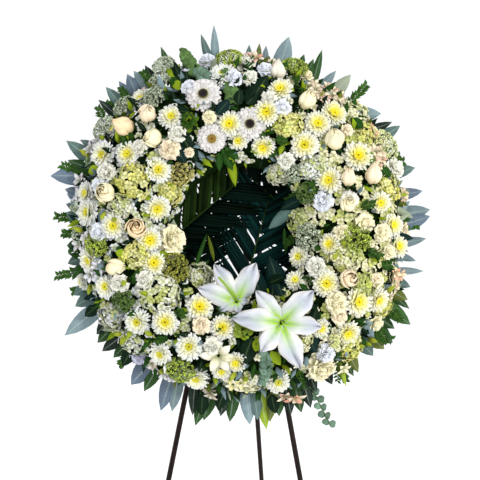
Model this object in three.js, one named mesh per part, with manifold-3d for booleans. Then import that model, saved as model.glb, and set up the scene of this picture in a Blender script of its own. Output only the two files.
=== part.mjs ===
import * as THREE from "three";
import { mergeVertices } from "three/addons/utils/BufferGeometryUtils.js";
import Module from "manifold-3d";

const wasm = await Module();
wasm.setup();

// Driving dimensions in millimetres. The wreath is laid out in its own flat frame: X to the right,
// Z up, Y to the back, with the centre of the ring at the origin and the flowers facing -Y.
const CENTRE_HEIGHT = 1100;
const LEAN = Math.atan(0.15);
const GAP = 0.35;
const RING = { mean: 238, halfWidth: 108, depth: 100, back: -8.3, floret: 4, around: 36, across: 5 };
const FOAM = { inner: 160, outer: 316, front: -62, back: -20.3, sides: RING.around };
const BASE = { front: -20, back: -8.3 };
const SHELF = { inner: 330, lip: 341, front: -23.5, back: -11 };
const HEAD_LIFT = 17;
const HEAD_ROOT = 27;
const HEAD_SHARE = 0.94;
const BUNCHES = 12;
const SPRAYS = 8;
const LEG = { radius: 6, sides: 8, axisY: 6.3, top: 174 };
const APEX = { x: -6.6, z: 210 };
const SPLAY = { left: -0.2, right: 0.18 };
const BLOCK = { width: 60, low: 120, high: 240, front: 12.6, back: 30.6, ear: 6, earReach: 22 };
const PIVOT = { y: 43.6, z: 205, pin: 3, slot: 14.4 };
const REAR_FOOT = { x: 79, y: 546 };
const REAR_LEG = { top: 7, foot: 5, over: 14 };
const PEG = { radius: 4, z: 224, tip: -16, root: 26 };
const PALM = { thick: 1.2, pitch: 1.7, front: -8 };
const LEAF_THICK = 1;
const SPRIG = { front: -13.4, back: -12.4, reach: 20, leaflets: 3 };
const TRAIL = { reach: 19, leaflets: 5 };
const TEPAL = { width: 37, shoulder: 0.56, notch: 0.3, spread: 0.36, thick: 1.1 };
const FACET_TOLERANCE = 0.5;
const BORE_GAP = 0.35;
// Reaches past every part of the wreath, for the bodies that cut it.
const BEYOND = { radius: 650, front: -400, back: 100 };

// Blooms as [x, z, diameter].
const CHRYSANTHEMUMS = [
  [-148, 236, 56], [-217, 280, 56], [-275, 213, 43], [-297, 157, 60], [-241, 157, 54], [-176, 123, 56],
  [-333, 75, 52], [-178, 41, 58], [-329, 34, 60], [-271, 4, 54], [-194, -26, 54], [-325, -69, 56],
  [-185, -75, 54], [-288, -125, 54], [-221, -200, 58], [-161, -200, 58], [-88, -168, 58], [-39, -211, 54],
  [-110, -252, 60], [-172, -269, 54], [-97, -323, 58], [-11, -286, 47], [80, -331, 54], [172, -301, 58],
  [228, -224, 54], [170, -213, 43], [249, -157, 64], [295, -155, 52], [181, -118, 58], [116, -112, 43],
  [125, -62, 49], [189, -34, 47], [325, 6, 49], [297, 54, 47], [187, 101, 56], [249, 153, 64],
  [135, 176, 60], [163, 221, 56], [198, 245, 62], [84, 295, 56], [54, 245, 58], [-24, 221, 54],
  [47, 172, 52], [-6, 187, 47], [-39, 333, 60], [338, -39, 52], [-350, -118, 39], [-41, -305, 43],
  [241, -256, 47], [-62, 194, 60],
];
const CARNATIONS = [
  [-73, 366, 43], [13, 355, 41], [52, 340, 37], [88, 254, 39], [-150, 166, 43], [-286, 118, 41],
  [331, 129, 47], [174, 56, 43], [161, -84, 43], [202, -159, 47], [288, -112, 34], [181, -269, 39],
  [-258, -118, 39], [-84, -206, 39], [-228, -282, 39], [-150, -26, 52], [97, 144, 39], [290, -206, 39],
];
const HYDRANGEAS = [
  [-228, 99, 73], [-150, 73, 47], [247, 247, 65], [99, 219, 56], [153, 129, 52], [80, 118, 47],
  [129, 15, 60], [221, -62, 60], [316, 86, 52], [-226, -62, 56], [-172, -138, 82], [-90, -103, 56],
  [-277, -189, 60], [260, -120, 52], [310, -170, 52], [-355, 54, 43], [-256, 45, 47],
];
const SMALL_UMBELS = [
  [-178, 325, 56], [-185, 280, 52], [-170, 359, 52], [-258, 269, 52], [-292, 221, 43], [142, 75, 49],
  [146, -19, 62], [-307, -34, 56], [-249, -155, 52], [-127, 118, 52], [114, 118, 43], [-350, -15, 43],
  [-22, 305, 50], [-114, 221, 50], [11, -213, 42], [56, -286, 50],
];
const LARGE_UMBELS = [
  [-24, 372, 60], [120, 353, 60], [310, 174, 60], [243, -22, 65], [-144, -84, 56], [-129, -301, 65],
];
const SMALL_LILIES = [
  [161, 299, 30], [189, 305, 30], [209, 284, 30], [32, 376, 30], [71, 366, 30], [284, 204, 30],
  [288, 163, 30], [353, 73, 30], [357, -4, 30], [346, -105, 30], [340, -131, 30], [-314, 185, 30],
  [-357, 99, 30], [-363, -34, 30], [-325, -101, 36], [-194, -295, 30], [-170, -323, 30], [110, -372, 34],
  [-67, -370, 34], [228, -312, 32], [-45, -269, 60], [-14, -341, 40],
];
const ROSES = [
  [-200, 241, 47], [-247, 215, 50], [-183, 191, 43], [-284, 73, 50], [-224, -4, 47], [-273, -84, 42],
  [80, 333, 40], [138, 267, 43], [198, 187, 50], [282, 108, 43], [228, 101, 38], [226, 47, 36],
  [226, -108, 43],
];
const GERBERAS = { upper: [-80, 284, 75], lower: [19, 221, 71] };

// Leaves at the rim as [root x, root z, tip x, tip z, width].
const RIM_LEAVES = [
  [-56, 376, -58, 436, 22], [-60, 383, -86, 417, 20], [86, 361, 103, 411, 30], [62, 366, 67, 391, 18],
  [168, 329, 174, 381, 14], [209, 301, 234, 329, 20], [256, 269, 299, 247, 20], [295, 228, 323, 228, 16],
  [310, 200, 340, 219, 20], [338, 125, 372, 129, 20], [366, 77, 389, 80, 18], [353, 28, 404, 39, 24],
  [359, 0, 406, 26, 26], [363, -41, 396, -22, 20], [361, -105, 391, -92, 22], [327, -168, 363, -206, 26],
  [353, -144, 361, -172, 16], [-327, 144, -374, 187, 24], [-346, 129, -408, 112, 34],
  [-267, 275, -288, 301, 22], [-243, 297, -243, 329, 28], [-213, 318, -230, 335, 20],
  [-325, -176, -376, -228, 28], [-277, -256, -307, -267, 24], [-196, -305, -226, -320, 28],
  [-163, -338, -170, -389, 26], [-148, -338, -148, -391, 22], [-13, -370, -24, -413, 22],
  [11, -366, 19, -419, 24], [45, -381, 54, -430, 22], [84, -370, 62, -413, 20], [-77, -381, -97, -421, 24],
];
const RIM_SPRIGS = [
  [340, 150, 382, 168], [352, 18, 392, 6], [246, 262, 286, 304], [-336, 118, -392, 138],
  [-352, 19, -396, 12], [-344, -97, -386, -104], [-286, 262, -318, 286], [310, -237, 340, -258],
  [214, -300, 236, -352], [146, 325, 156, 372], [-240, -270, -268, -300],
];
const TRAILING_SPRIG = [142, -329, 196, -432];

// Palm fronds as [root x, root z, tip x, tip z, half-length of the longest leaflets].
const PALM_FRONDS = [
  [-196, -60, -8, 100, 78], [-10, -196, 60, 60, 80], [196, -40, 10, 120, 84], [150, -150, 90, 110, 70],
  [-120, -160, -60, 40, 62],
];

let seed = 20211;
const draw = () => {
  seed = (seed * 16807) % 2147483647;
  return seed / 2147483647;
};

// A closed body from a geometry, with its faces turned outwards.
function solid(geometry) {
  const bare = geometry.clone();
  bare.deleteAttribute("normal");
  bare.deleteAttribute("uv");
  const merged = mergeVertices(bare, 1e-3);
  const index = merged.index.array;
  const build = (flip) => {
    const kept = [];
    for (let i = 0; i < index.length; i += 3) {
      const [a, b, c] = [index[i], index[i + 1], index[i + 2]];
      if (a !== b && b !== c && c !== a) kept.push(a, flip ? c : b, flip ? b : c);
    }
    const vertProperties = new Float32Array(merged.attributes.position.array);
    const triVerts = new Uint32Array(kept);
    return new wasm.Manifold(new wasm.Mesh({ numProp: 3, vertProperties, triVerts }));
  };
  const body = build(false);
  return body.volume() > 0 ? body : build(true);
}

// The largest single body of a solid: loose scraps and sealed hollows are left out.
function largest(body) {
  return body.decompose().sort((a, b) => b.volume() - a.volume())[0];
}

function geometryOf(body) {
  const mesh = largest(largest(body).simplify(FACET_TOLERANCE)).getMesh();
  const geometry = new THREE.BufferGeometry();
  geometry.setAttribute("position", new THREE.BufferAttribute(new Float32Array(mesh.vertProperties), 3));
  geometry.setIndex(new THREE.BufferAttribute(new Uint32Array(mesh.triVerts), 1));
  geometry.computeVertexNormals();
  return geometry;
}

const root = new THREE.Group();
const wreath = new THREE.Group();
wreath.position.z = CENTRE_HEIGHT;
wreath.rotation.x = -LEAN;
root.add(wreath);

function addPiece(group, name, body, color, roughness = 0.7, metalness = 0) {
  const material = new THREE.MeshStandardMaterial({ color, roughness, metalness });
  const mesh = new THREE.Mesh(geometryOf(body), material);
  mesh.name = name;
  group.add(mesh);
}

// A body of revolution about Y whose vertices bend(side, row, point) may move: a head of petals.
function head(profile, sides, bend) {
  const geometry = new THREE.LatheGeometry(profile.map(([r, y]) => new THREE.Vector2(r, y)), sides);
  const place = geometry.attributes.position;
  const point = new THREE.Vector3();
  for (let i = 0; i < place.count; i += 1) {
    point.fromBufferAttribute(place, i);
    bend(Math.floor(i / profile.length) % sides, i % profile.length, point);
    place.setXYZ(i, point.x, point.y, point.z);
  }
  return geometry;
}

// Petal tips stand out on every other side, row by row, with notches between them.
function petals(rows) {
  return (side, row, point) => {
    const [notch, lift] = rows[row] ?? [1, 0];
    if (side % 2) {
      point.x *= notch;
      point.z *= notch;
      point.y += lift;
    }
  };
}

const HEADS = {
  chrysanthemum: (r) => head(
    [[0, -HEAD_ROOT], [r, 0], [0.6 * r, 0.26 * r], [0, 0.2 * r]], 12,
    petals([[1, 0], [0.7, 1], [1.24, -1.5]])),
  smallChrysanthemum: (r) => head([[0, -HEAD_ROOT], [r, 0], [0, 0.3 * r]], 12, petals([[1, 0], [0.68, 1]])),
  carnation: (r) => head(
    [[0, -HEAD_ROOT], [r, 0], [0.6 * r, 0.5 * r], [0, 0.3 * r]], 8, petals([[1, 0], [0.8, 5]])),
  hydrangea: (r) => head(
    [[0, -HEAD_ROOT], [r, -2], [0.62 * r, 0.4 * r], [0, 0.34 * r]], 8, petals([[1, 0], [0.78, 4]])),
  umbel: (r) => head([[0, -HEAD_ROOT], [r, -1], [0, 0.34 * r]], 8, petals([[1, 0], [0.84, 3]])),
  smallLily: (r) => head([[0, -HEAD_ROOT], [r, 5], [0, 0]], 8, petals([[1, 0], [0.42, -3]])),
};

// Feature blooms stand on a flat foot with a stem below it.
const FOOT = -12;
const STEM = { radius: 4, length: 30, sides: 6 };
const FEATURES = {
  rose: (r) => head(
    [[0, FOOT], [0.5 * r, FOOT], [r, 0.1 * r], [0.84 * r, 0.66 * r], [0.46 * r, 0.6 * r], [0, 0.8 * r]], 10,
    petals([[1, 0], [1, 0], [0.86, 0], [0.84, -0.16 * r], [1.1, 0.14 * r]])),
  umbel: (r) => head(
    [[0, FOOT], [0.4 * r, FOOT], [r, 0], [0.7 * r, 0.4 * r], [0, 0.44 * r]], 10,
    petals([[1, 0], [1, 0], [0.84, 2], [0.88, 4]])),
  gerbera: (r) => head(
    [[0, FOOT], [0.36 * r, FOOT], [r, 1], [0.5 * r, 6], [0, 4]], 18,
    petals([[1, 0], [1, 0], [0.8, -1], [1, -1]])),
};

// A place on the flower bank: where the centre of a head lies for a place (x, z) seen from the
// front, and which way it faces. The bank's section is half an ellipse.
function seat(x, z, lift) {
  const radius = Math.hypot(x, z);
  const halfWidth = RING.halfWidth + lift;
  const depth = RING.depth + lift;
  const cos = THREE.MathUtils.clamp((RING.mean - radius) / halfWidth, -0.96, 0.96);
  const sin = Math.sqrt(1 - cos * cos);
  const r = RING.mean - halfWidth * cos;
  const centre = new THREE.Vector3((x / radius) * r, RING.back - depth * sin, (z / radius) * r);
  const inwards = -cos / halfWidth / radius;
  const outward = new THREE.Vector3(inwards * x, -sin / depth, inwards * z).normalize();
  const facing = outward.multiplyScalar(0.7).add(new THREE.Vector3(0, -0.3, 0)).normalize();
  return { centre, facing };
}

function standOn({ centre, facing }, geometry, spin) {
  const turn = new THREE.Quaternion().setFromUnitVectors(new THREE.Vector3(0, 1, 0), facing);
  turn.multiply(new THREE.Quaternion().setFromAxisAngle(new THREE.Vector3(0, 1, 0), spin));
  return geometry.applyMatrix4(new THREE.Matrix4().compose(centre, turn, new THREE.Vector3(1, 1, 1)));
}

// A post along +Y from low to high.
function post(radius, low, high, sides) {
  return new THREE.CylinderGeometry(radius, radius, high - low, sides).translate(0, (low + high) / 2, 0);
}

// A ring about Y with a rectangular section.
function ring(inner, outer, front, back, sides) {
  const corners = [[inner, front], [outer, front], [outer, back], [inner, back], [inner, front]];
  return solid(new THREE.LatheGeometry(corners.map(([r, y]) => new THREE.Vector2(r, y)), sides));
}

// A flat outline in the XZ plane, thick along Y from front to back.
function plate(points, front, back) {
  const shape = new THREE.Shape(points.map(([x, z]) => new THREE.Vector2(x, z)));
  const geometry = new THREE.ExtrudeGeometry(shape, { depth: back - front, bevelEnabled: false });
  return geometry.rotateX(Math.PI / 2).translate(0, back, 0);
}

// A leaf blade along +X with its midrib raised, as wide as the stations say, in front of y = 0.
function blade(length, width, stations) {
  const geometry = new THREE.BoxGeometry(length, LEAF_THICK, width, stations.length - 1, 1, 2);
  geometry.translate(length / 2, 0, 0);
  const place = geometry.attributes.position;
  for (let i = 0; i < place.count; i += 1) {
    const share = place.getX(i) / length;
    const broad = stations[Math.round(share * (stations.length - 1))];
    const ridge = Math.abs(place.getZ(i)) < 0.01 ? -0.14 * width * broad : 0;
    place.setXYZ(i, place.getX(i), place.getY(i) + ridge, place.getZ(i) * broad);
  }
  return geometry;
}

// Leaflets cut to the rib of one thin blade: a comb outline along a line from root to tip.
function comb(start, end, reach, count, width, sweep) {
  const along = new THREE.Vector2().subVectors(end, start);
  const length = along.length();
  along.normalize();
  const across = new THREE.Vector2(-along.y, along.x);
  const at = (s, w) => start.clone().addScaledVector(along, s).addScaledVector(across, w);
  const side = (sign) => {
    const points = [];
    for (let i = 0; i < count; i += 1) {
      const pitch = length / (count + 0.6);
      const foot = pitch * (i + 0.4);
      const long = reach * Math.sin(Math.PI * (0.22 + (0.62 * (i + 0.5)) / count));
      points.push(at(foot, sign * width));
      points.push(at(foot + long * sweep, sign * long));
      points.push(at(foot + long * sweep * 0.86 + pitch * 0.5, sign * long * 0.86));
      points.push(at(foot + pitch * 0.72, sign * width));
    }
    return points;
  };
  const outline = [at(0, -width), ...side(-1), at(length, 0), ...side(1).reverse(), at(0, width)];
  return outline.map((p) => [p.x, p.y]);
}

// The wedge of the ring between two angles, half a gap inside each of them.
function wedge(from, to) {
  const half = (to - from) / 2;
  const middle = from + half;
  const tip = GAP / 2 / Math.sin(half);
  const far = BEYOND.radius;
  const at = (angle, r) => [
    Math.cos(angle) * r + Math.cos(middle) * tip, Math.sin(angle) * r + Math.sin(middle) * tip,
  ];
  const outline = [at(0, 0), at(from, far), at(middle, far / Math.cos(half)), at(to, far)];
  return solid(plate(outline, BEYOND.front, BEYOND.back));
}

// Angles near an even spacing that cross the fewest of the given discs [x, z, diameter].
function quietAngles(count, discs) {
  const angles = [];
  for (let i = 0; i < count; i += 1) {
    const nominal = ((i + 0.5) * 2 * Math.PI) / count;
    let best = { angle: nominal, cost: Infinity };
    for (let step = -9; step <= 9; step += 1) {
      const angle = nominal + THREE.MathUtils.degToRad(step);
      const cost = discs.reduce((sum, [x, z, size]) => {
        const ahead = x * Math.cos(angle) + z * Math.sin(angle);
        const off = Math.abs(z * Math.cos(angle) - x * Math.sin(angle));
        return ahead > 0 ? sum + Math.max(0, size / 2 - off) ** 2 : sum;
      }, 0);
      if (cost < best.cost) best = { angle, cost };
    }
    angles.push(best.angle);
  }
  return angles;
}

const LARGE = 56;
const FUSED = [
  ["chrysanthemum", CHRYSANTHEMUMS.filter((bloom) => bloom[2] >= LARGE)],
  ["smallChrysanthemum", CHRYSANTHEMUMS.filter((bloom) => bloom[2] < LARGE)],
  ["carnation", CARNATIONS], ["hydrangea", HYDRANGEAS], ["umbel", SMALL_UMBELS], ["smallLily", SMALL_LILIES],
].flatMap(([kind, list]) => list.map(([x, z, size]) => ({ kind, x, z, size })));
const bunchAngles = quietAngles(BUNCHES, FUSED.map(({ x, z, size }) => [x, z, size]));

// A bloom that a cut between two bunches would cross is bent clear of it, by a bound amount.
function bentClear({ x, z, size }) {
  const most = 16;
  for (const angle of bunchAngles) {
    const ahead = x * Math.cos(angle) + z * Math.sin(angle);
    const off = z * Math.cos(angle) - x * Math.sin(angle);
    const short = size / 2 + GAP - Math.abs(off);
    if (ahead > 0 && short > 0) {
      const shift = Math.sign(off) * Math.min(short, most);
      return [x - Math.sin(angle) * shift, z + Math.cos(angle) * shift];
    }
  }
  return [x, z];
}

// The bank of small florets round the foam, raised and lowered by turns all over.
function flowerBank() {
  const profile = [];
  for (let j = 0; j <= RING.across; j += 1) {
    const angle = (Math.PI * j) / RING.across;
    profile.push([RING.mean - RING.halfWidth * Math.cos(angle), RING.back - RING.depth * Math.sin(angle)]);
  }
  const [inner, outer, front] = [FOAM.inner - GAP, FOAM.outer + GAP, FOAM.front - GAP];
  profile.push([outer, RING.back], [outer, front], [inner, front], [inner, RING.back], profile[0]);
  return solid(head(profile, RING.around, (side, row, point) => {
    if (row < 1 || row >= RING.across) return;
    const raise = (side + row) % 2 ? RING.floret : -RING.floret;
    const radius = Math.hypot(point.x, point.z);
    const out = new THREE.Vector2(radius - RING.mean, point.y - RING.back).normalize();
    const grown = (radius + out.x * raise) / radius;
    point.set(point.x * grown, point.y + out.y * raise, point.z * grown);
  }));
}

// A lily: six tepals of their own lengths from a throat, in front of the bank, on a stem. The tips
// [x, z, bend] go round by rising angle, and grow makes the same shape a little thicker and longer.
function lily(tips, throat, curl, grow) {
  const tepals = tips.map(([x, z, bend]) => ({ length: Math.hypot(x, z), angle: Math.atan2(z, x), bend }));
  const at = (share) => (side, point) => {
    const own = tepals[Math.floor(side / 4)];
    const next = tepals[(Math.floor(side / 4) + 1) % tepals.length];
    const between = THREE.MathUtils.euclideanModulo(next.angle - own.angle, 2 * Math.PI);
    const spread = ({ length }) => Math.min(Math.atan(TEPAL.width / length), TEPAL.spread * between);
    const [turn, reach] = [
      [own.angle, own.length], [own.angle + spread(own), own.length * TEPAL.shoulder],
      [own.angle + between / 2, Math.min(own.length, next.length) * TEPAL.notch],
      [own.angle + between - spread(next), next.length * TEPAL.shoulder],
    ][side % 4];
    const far = (reach + grow) * share;
    const drop = side % 4 ? 0 : own.bend * share;
    point.set(Math.cos(turn) * far, throat + curl(share) + drop, Math.sin(turn) * far);
  };
  const rows = [null, at(0.45), at(1), at(1), at(0.45), null];
  const thick = TEPAL.thick + grow;
  const offset = [thick, thick, thick, -thick, -thick, -thick];
  return head([[0, 0], [1, 0], [2, 0], [2, 1], [1, 1], [0, 1]], tips.length * 4, (side, row, point) => {
    if (rows[row]) rows[row](side, point);
    else point.set(0, throat + curl(0), 0);
    point.y += offset[row];
  });
}

const bank = flowerBank();
const shelf = solid(new THREE.LatheGeometry([
  [SHELF.inner, SHELF.front], [BEYOND.radius, SHELF.front], [BEYOND.radius, BEYOND.back],
  [SHELF.lip, BEYOND.back], [SHELF.lip, SHELF.back], [SHELF.inner, SHELF.back], [SHELF.inner, SHELF.front],
].map(([r, y]) => new THREE.Vector2(r, y)), 48));

// Lilies, gerberas, roses and large umbels each stand in a well of their own in the bank.
const wells = [];
function plant(name, place, body, well, color) {
  const clear = wells.reduce((rest, taken) => rest.subtract(taken), body);
  addPiece(wreath, name, clear.subtract(shelf), color);
  wells.push(well);
}

const LILY_OPEN = {
  at: [86, -200], throat: 28,
  tips: [[84, 0, -6], [56, 75, -14], [-43, 67, -10], [-105, 17, -4], [-45, -60, -16], [37, -101, -12]],
};
const LILY_SIDE = {
  at: [-9, -157], throat: 22,
  tips: [[34, 20, 8], [30, 84, -4], [-41, 82, 2], [-82, 26, 6], [-40, -24, 4], [10, -38, 4]],
};
function plantLily(name, { at, throat, tips }) {
  const { centre } = seat(at[0], at[1], HEAD_LIFT);
  const front = { centre, facing: new THREE.Vector3(0, -1, 0) };
  const turned = tips.map(([x, z, bend]) => [-x, z, bend]).reverse();
  const curl = (share) => 26 * Math.sin(Math.PI * Math.min(share * 0.8, 0.5)) - 10;
  const make = (grow) => {
    const star = solid(standOn(front, lily(turned, throat, curl, grow), 0));
    const stalk = post(9 + grow, -HEAD_ROOT - STEM.length - grow, throat - 9, 8);
    return star.add(solid(standOn(front, stalk, 0)));
  };
  plant(name, front, make(0), make(0.8), 0xf7f7f2);
}
plantLily("lily_open", LILY_OPEN);
plantLily("lily_side", LILY_SIDE);

function plantFeature(name, kind, [x, z, size], color, centrePiece) {
  const place = seat(x, z, HEAD_LIFT);
  const r = size / 2;
  const spin = draw() * Math.PI;
  const stem = solid(standOn(place, post(STEM.radius, FOOT - STEM.length, FOOT + 2, STEM.sides), spin));
  let body = solid(standOn(place, FEATURES[kind](r), spin)).add(stem);
  const well = solid(standOn(place, post((r + 0.6) / Math.cos(Math.PI / 8), FOOT - GAP, 120, 8), spin))
    .add(solid(standOn(place, post(STEM.radius + 0.8, FOOT - STEM.length - GAP, FOOT, STEM.sides), spin)));
  if (centrePiece) {
    const disc = r * 0.3;
    body = body.subtract(solid(standOn(place, post(disc + 0.5, 1, 40, 12), spin)));
    const dome = head([[0, 1 + GAP], [disc, 1 + GAP], [disc, 5], [disc * 0.6, 8], [0, 7]], 12, petals([]));
    addPiece(wreath, centrePiece, solid(standOn(place, dome, spin)), 0x241a14, 0.9);
  }
  plant(name, place, body, well, color);
}
Object.entries(GERBERAS).forEach(([which, spot]) => {
  plantFeature(`gerbera_${which}`, "gerbera", spot, 0xf6f4ee, `gerbera_centre_${which}`);
});
ROSES.forEach((spot, i) => {
  plantFeature(`rose_${String(i + 1).padStart(2, "0")}`, "rose", spot, 0xf3e6d4);
});
LARGE_UMBELS.forEach((spot, i) => plantFeature(`umbel_${i + 1}`, "umbel", spot, 0x98a63c));

const blooms = FUSED.map((bloom) => {
  const [x, z] = bentClear(bloom);
  const geometry = HEADS[bloom.kind]((bloom.size / 2) * HEAD_SHARE);
  return { x, z, body: solid(standOn(seat(x, z, HEAD_LIFT), geometry, draw() * Math.PI)) };
});
bunchAngles.forEach((from, i) => {
  const to = i + 1 < BUNCHES ? bunchAngles[i + 1] : bunchAngles[0] + 2 * Math.PI;
  const own = blooms.filter(({ x, z }) => (
    THREE.MathUtils.euclideanModulo(Math.atan2(z, x) - from, 2 * Math.PI) < to - from));
  const heaped = own.reduce((mass, { body }) => mass.add(body), bank);
  const cut = wells.reduce((mass, well) => mass.subtract(well), heaped.intersect(wedge(from, to)));
  addPiece(wreath, `flower_bunch_${String(i + 1).padStart(2, "0")}`, cut.subtract(shelf), 0xf2f3ea);
});

// Foliage round the rim: arcs of stem in the groove behind the blooms, with their leaves.
const leafPlace = (x, y, z, angle) => new THREE.Matrix4().makeRotationY(-angle).setPosition(x, y, z);
const STEM_RADIUS = (SHELF.inner + SHELF.lip) / 2 - 1;
function rimLeaf([x, z, tipX, tipZ, width], layer) {
  const angle = Math.atan2(z, x);
  const start = [Math.cos(angle) * STEM_RADIUS, Math.sin(angle) * STEM_RADIUS];
  const length = Math.hypot(tipX - start[0], tipZ - start[1]);
  const turn = Math.atan2(tipZ - start[1], tipX - start[0]);
  const geometry = blade(length, width, [0.3, 1, 0]);
  return solid(geometry.applyMatrix4(leafPlace(start[0], layer, start[1], turn)));
}
const SPRAY_ITEMS = [
  ...RIM_LEAVES.map((leaf, i) => (
    { at: leaf.slice(0, 2), tip: leaf.slice(2, 4), leaf, layer: i % 2 ? -15 : -18.5 })),
  ...RIM_SPRIGS.map((sprig) => ({ at: sprig.slice(0, 2), tip: sprig.slice(2, 4), ...SPRIG })),
  { at: TRAILING_SPRIG.slice(0, 2), tip: TRAILING_SPRIG.slice(2, 4), ...TRAIL },
];
const sprayAngles = quietAngles(SPRAYS, SPRAY_ITEMS.flatMap(({ at, tip }) => [[...at, 44], [...tip, 44]]));
sprayAngles.forEach((from, i) => {
  const to = i + 1 < SPRAYS ? sprayAngles[i + 1] : sprayAngles[0] + 2 * Math.PI;
  const arc = [];
  const steps = 6;
  for (let k = 0; k <= steps; k += 1) arc.push([from + ((to - from) * k) / steps, SHELF.inner + 1.3]);
  for (let k = steps; k >= 0; k -= 1) arc.push([from + ((to - from) * k) / steps, SHELF.lip - 2]);
  const outline = arc.map(([angle, r]) => [Math.cos(angle) * r, Math.sin(angle) * r]);
  const stem = plate(outline, SHELF.front + GAP, SHELF.back - GAP);
  const own = SPRAY_ITEMS.filter(({ at: [x, z] }) => (
    THREE.MathUtils.euclideanModulo(Math.atan2(z, x) - from, 2 * Math.PI) < to - from));
  const leafy = own.reduce((mass, { at: [x, z], tip, leaf, layer, reach, leaflets }) => {
    if (leaf) return mass.add(rimLeaf(leaf, layer));
    const angle = Math.atan2(z, x);
    const start = new THREE.Vector2(Math.cos(angle) * STEM_RADIUS, Math.sin(angle) * STEM_RADIUS);
    const leaflike = comb(start, new THREE.Vector2(...tip), reach, leaflets, 1.6, 0.7);
    return mass.add(solid(plate(leaflike, SPRIG.front, SPRIG.back)));
  }, solid(stem));
  addPiece(wreath, `rim_foliage_${i + 1}`, leafy.intersect(wedge(from, to)), 0x5c7a6a);
});

// Palm fronds across the hole, one behind the other between the ring and the legs.
PALM_FRONDS.forEach(([x, z, tipX, tipZ, reach], i) => {
  const front = PALM.front + i * PALM.pitch;
  const outline = comb(new THREE.Vector2(x, z), new THREE.Vector2(tipX, tipZ), reach, 6, 2.5, 0.55);
  addPiece(wreath, `palm_frond_${i + 1}`, solid(plate(outline, front, front + PALM.thick)), 0x0d3324, 0.5);
});

// The foam ring in its tray, hung on a peg through a hole in the back of the tray.
const pegHole = solid(post(PEG.radius + 2 * BORE_GAP, PEG.tip - 1, PEG.root + 1, 8)
  .translate(APEX.x, 0, PEG.z));
const foam = ring(FOAM.inner, FOAM.outer, FOAM.front, FOAM.back, FOAM.sides);
addPiece(wreath, "foam_ring", wells.reduce((mass, well) => mass.subtract(well), foam), 0x2f6b3a, 0.95);
addPiece(wreath, "ring_tray", ring(FOAM.inner, FOAM.outer, BASE.front, BASE.back, FOAM.sides)
  .subtract(pegHole), 0x1f2a22, 0.6);
addPiece(wreath, "hanging_peg", solid(post(PEG.radius, PEG.tip, PEG.root, 8)
  .translate(APEX.x, 0, PEG.z)), 0x777777, 0.4, 0.8);

// The stand. Its legs are cut flat by the floor.
const toRow = new THREE.Matrix4().makeRotationX(-LEAN).setPosition(0, 0, CENTRE_HEIGHT);
const fromFlat = (x, y, z) => new THREE.Vector3(x, y, z).applyMatrix4(toRow);
const floor = solid(new THREE.BoxGeometry(3000, 3000, 400).translate(0, 0, -200));
function pole(from, to, radiusFrom, radiusTo) {
  const length = from.distanceTo(to);
  const geometry = new THREE.CylinderGeometry(radiusTo, radiusFrom, length, LEG.sides);
  geometry.translate(0, length / 2, 0);
  const turn = new THREE.Quaternion().setFromUnitVectors(
    new THREE.Vector3(0, 1, 0), new THREE.Vector3().subVectors(to, from).normalize());
  return solid(geometry.applyMatrix4(new THREE.Matrix4().compose(from, turn, new THREE.Vector3(1, 1, 1))));
}
const below = -(CENTRE_HEIGHT / Math.cos(LEAN)) - 30;
Object.entries(SPLAY).forEach(([side, slope]) => {
  const at = (z) => fromFlat(APEX.x + slope * (APEX.z - z), LEG.axisY, z);
  addPiece(root, `front_leg_${side}`, pole(at(LEG.top), at(below), LEG.radius, LEG.radius)
    .subtract(floor), 0x241a16, 0.5);
});

const pivot = fromFlat(APEX.x, PIVOT.y, PIVOT.z);
const rearFoot = new THREE.Vector3(REAR_FOOT.x, REAR_FOOT.y, 0);
const rearLine = new THREE.Vector3().subVectors(rearFoot, pivot).normalize();
const rearTop = pivot.clone().addScaledVector(rearLine, -REAR_LEG.over);
const rearEnd = rearFoot.clone().addScaledVector(rearLine, 30);
function acrossX(radius, length) {
  return new THREE.CylinderGeometry(radius, radius, length, 12).rotateZ(Math.PI / 2);
}
const bore = () => acrossX(PIVOT.pin + BORE_GAP, BLOCK.width);
addPiece(root, "rear_leg", pole(rearTop, rearEnd, REAR_LEG.top, REAR_LEG.foot).subtract(floor)
  .subtract(solid(bore().translate(pivot.x, pivot.y, pivot.z))), 0x241a16, 0.5);

const blockBody = new THREE.BoxGeometry(BLOCK.width, BLOCK.back - BLOCK.front, BLOCK.high - BLOCK.low)
  .translate(APEX.x, (BLOCK.back + BLOCK.front) / 2, (BLOCK.high + BLOCK.low) / 2);
const ear = (side) => new THREE.BoxGeometry(BLOCK.ear, BLOCK.earReach + 2, 28).translate(
  APEX.x + side * (PIVOT.slot / 2 + 1 + BLOCK.ear / 2), BLOCK.back + BLOCK.earReach / 2 - 1, PIVOT.z);
const headBlock = solid(blockBody).add(solid(ear(-1))).add(solid(ear(1))).subtract(pegHole)
  .subtract(solid(bore().translate(APEX.x, PIVOT.y, PIVOT.z)));
addPiece(wreath, "head_block", headBlock, 0x241a16, 0.5);
addPiece(wreath, "hinge_pin", solid(acrossX(PIVOT.pin, PIVOT.slot + 2 + 2 * BLOCK.ear + 2)
  .translate(APEX.x, PIVOT.y, PIVOT.z)), 0x8a8a88, 0.35, 0.9);

// The origin is at the middle of the foot print, on the floor.
root.updateMatrixWorld(true);
const bounds = new THREE.Box3().setFromObject(root, true);
const middle = bounds.getCenter(new THREE.Vector3());
root.position.set(-middle.x, -middle.y, -bounds.min.z);

export default root;
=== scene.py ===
"""A funeral wreath: a ring of white and cream flowers on a dark folding easel.

Places on the wreath are millimetres in its own flat frame: x to the right, z up, y to the back, with
the centre of the ring at 0, as seen square on from the front. to_row() puts them where the frame is.
"""
import math
from collections import defaultdict

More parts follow.
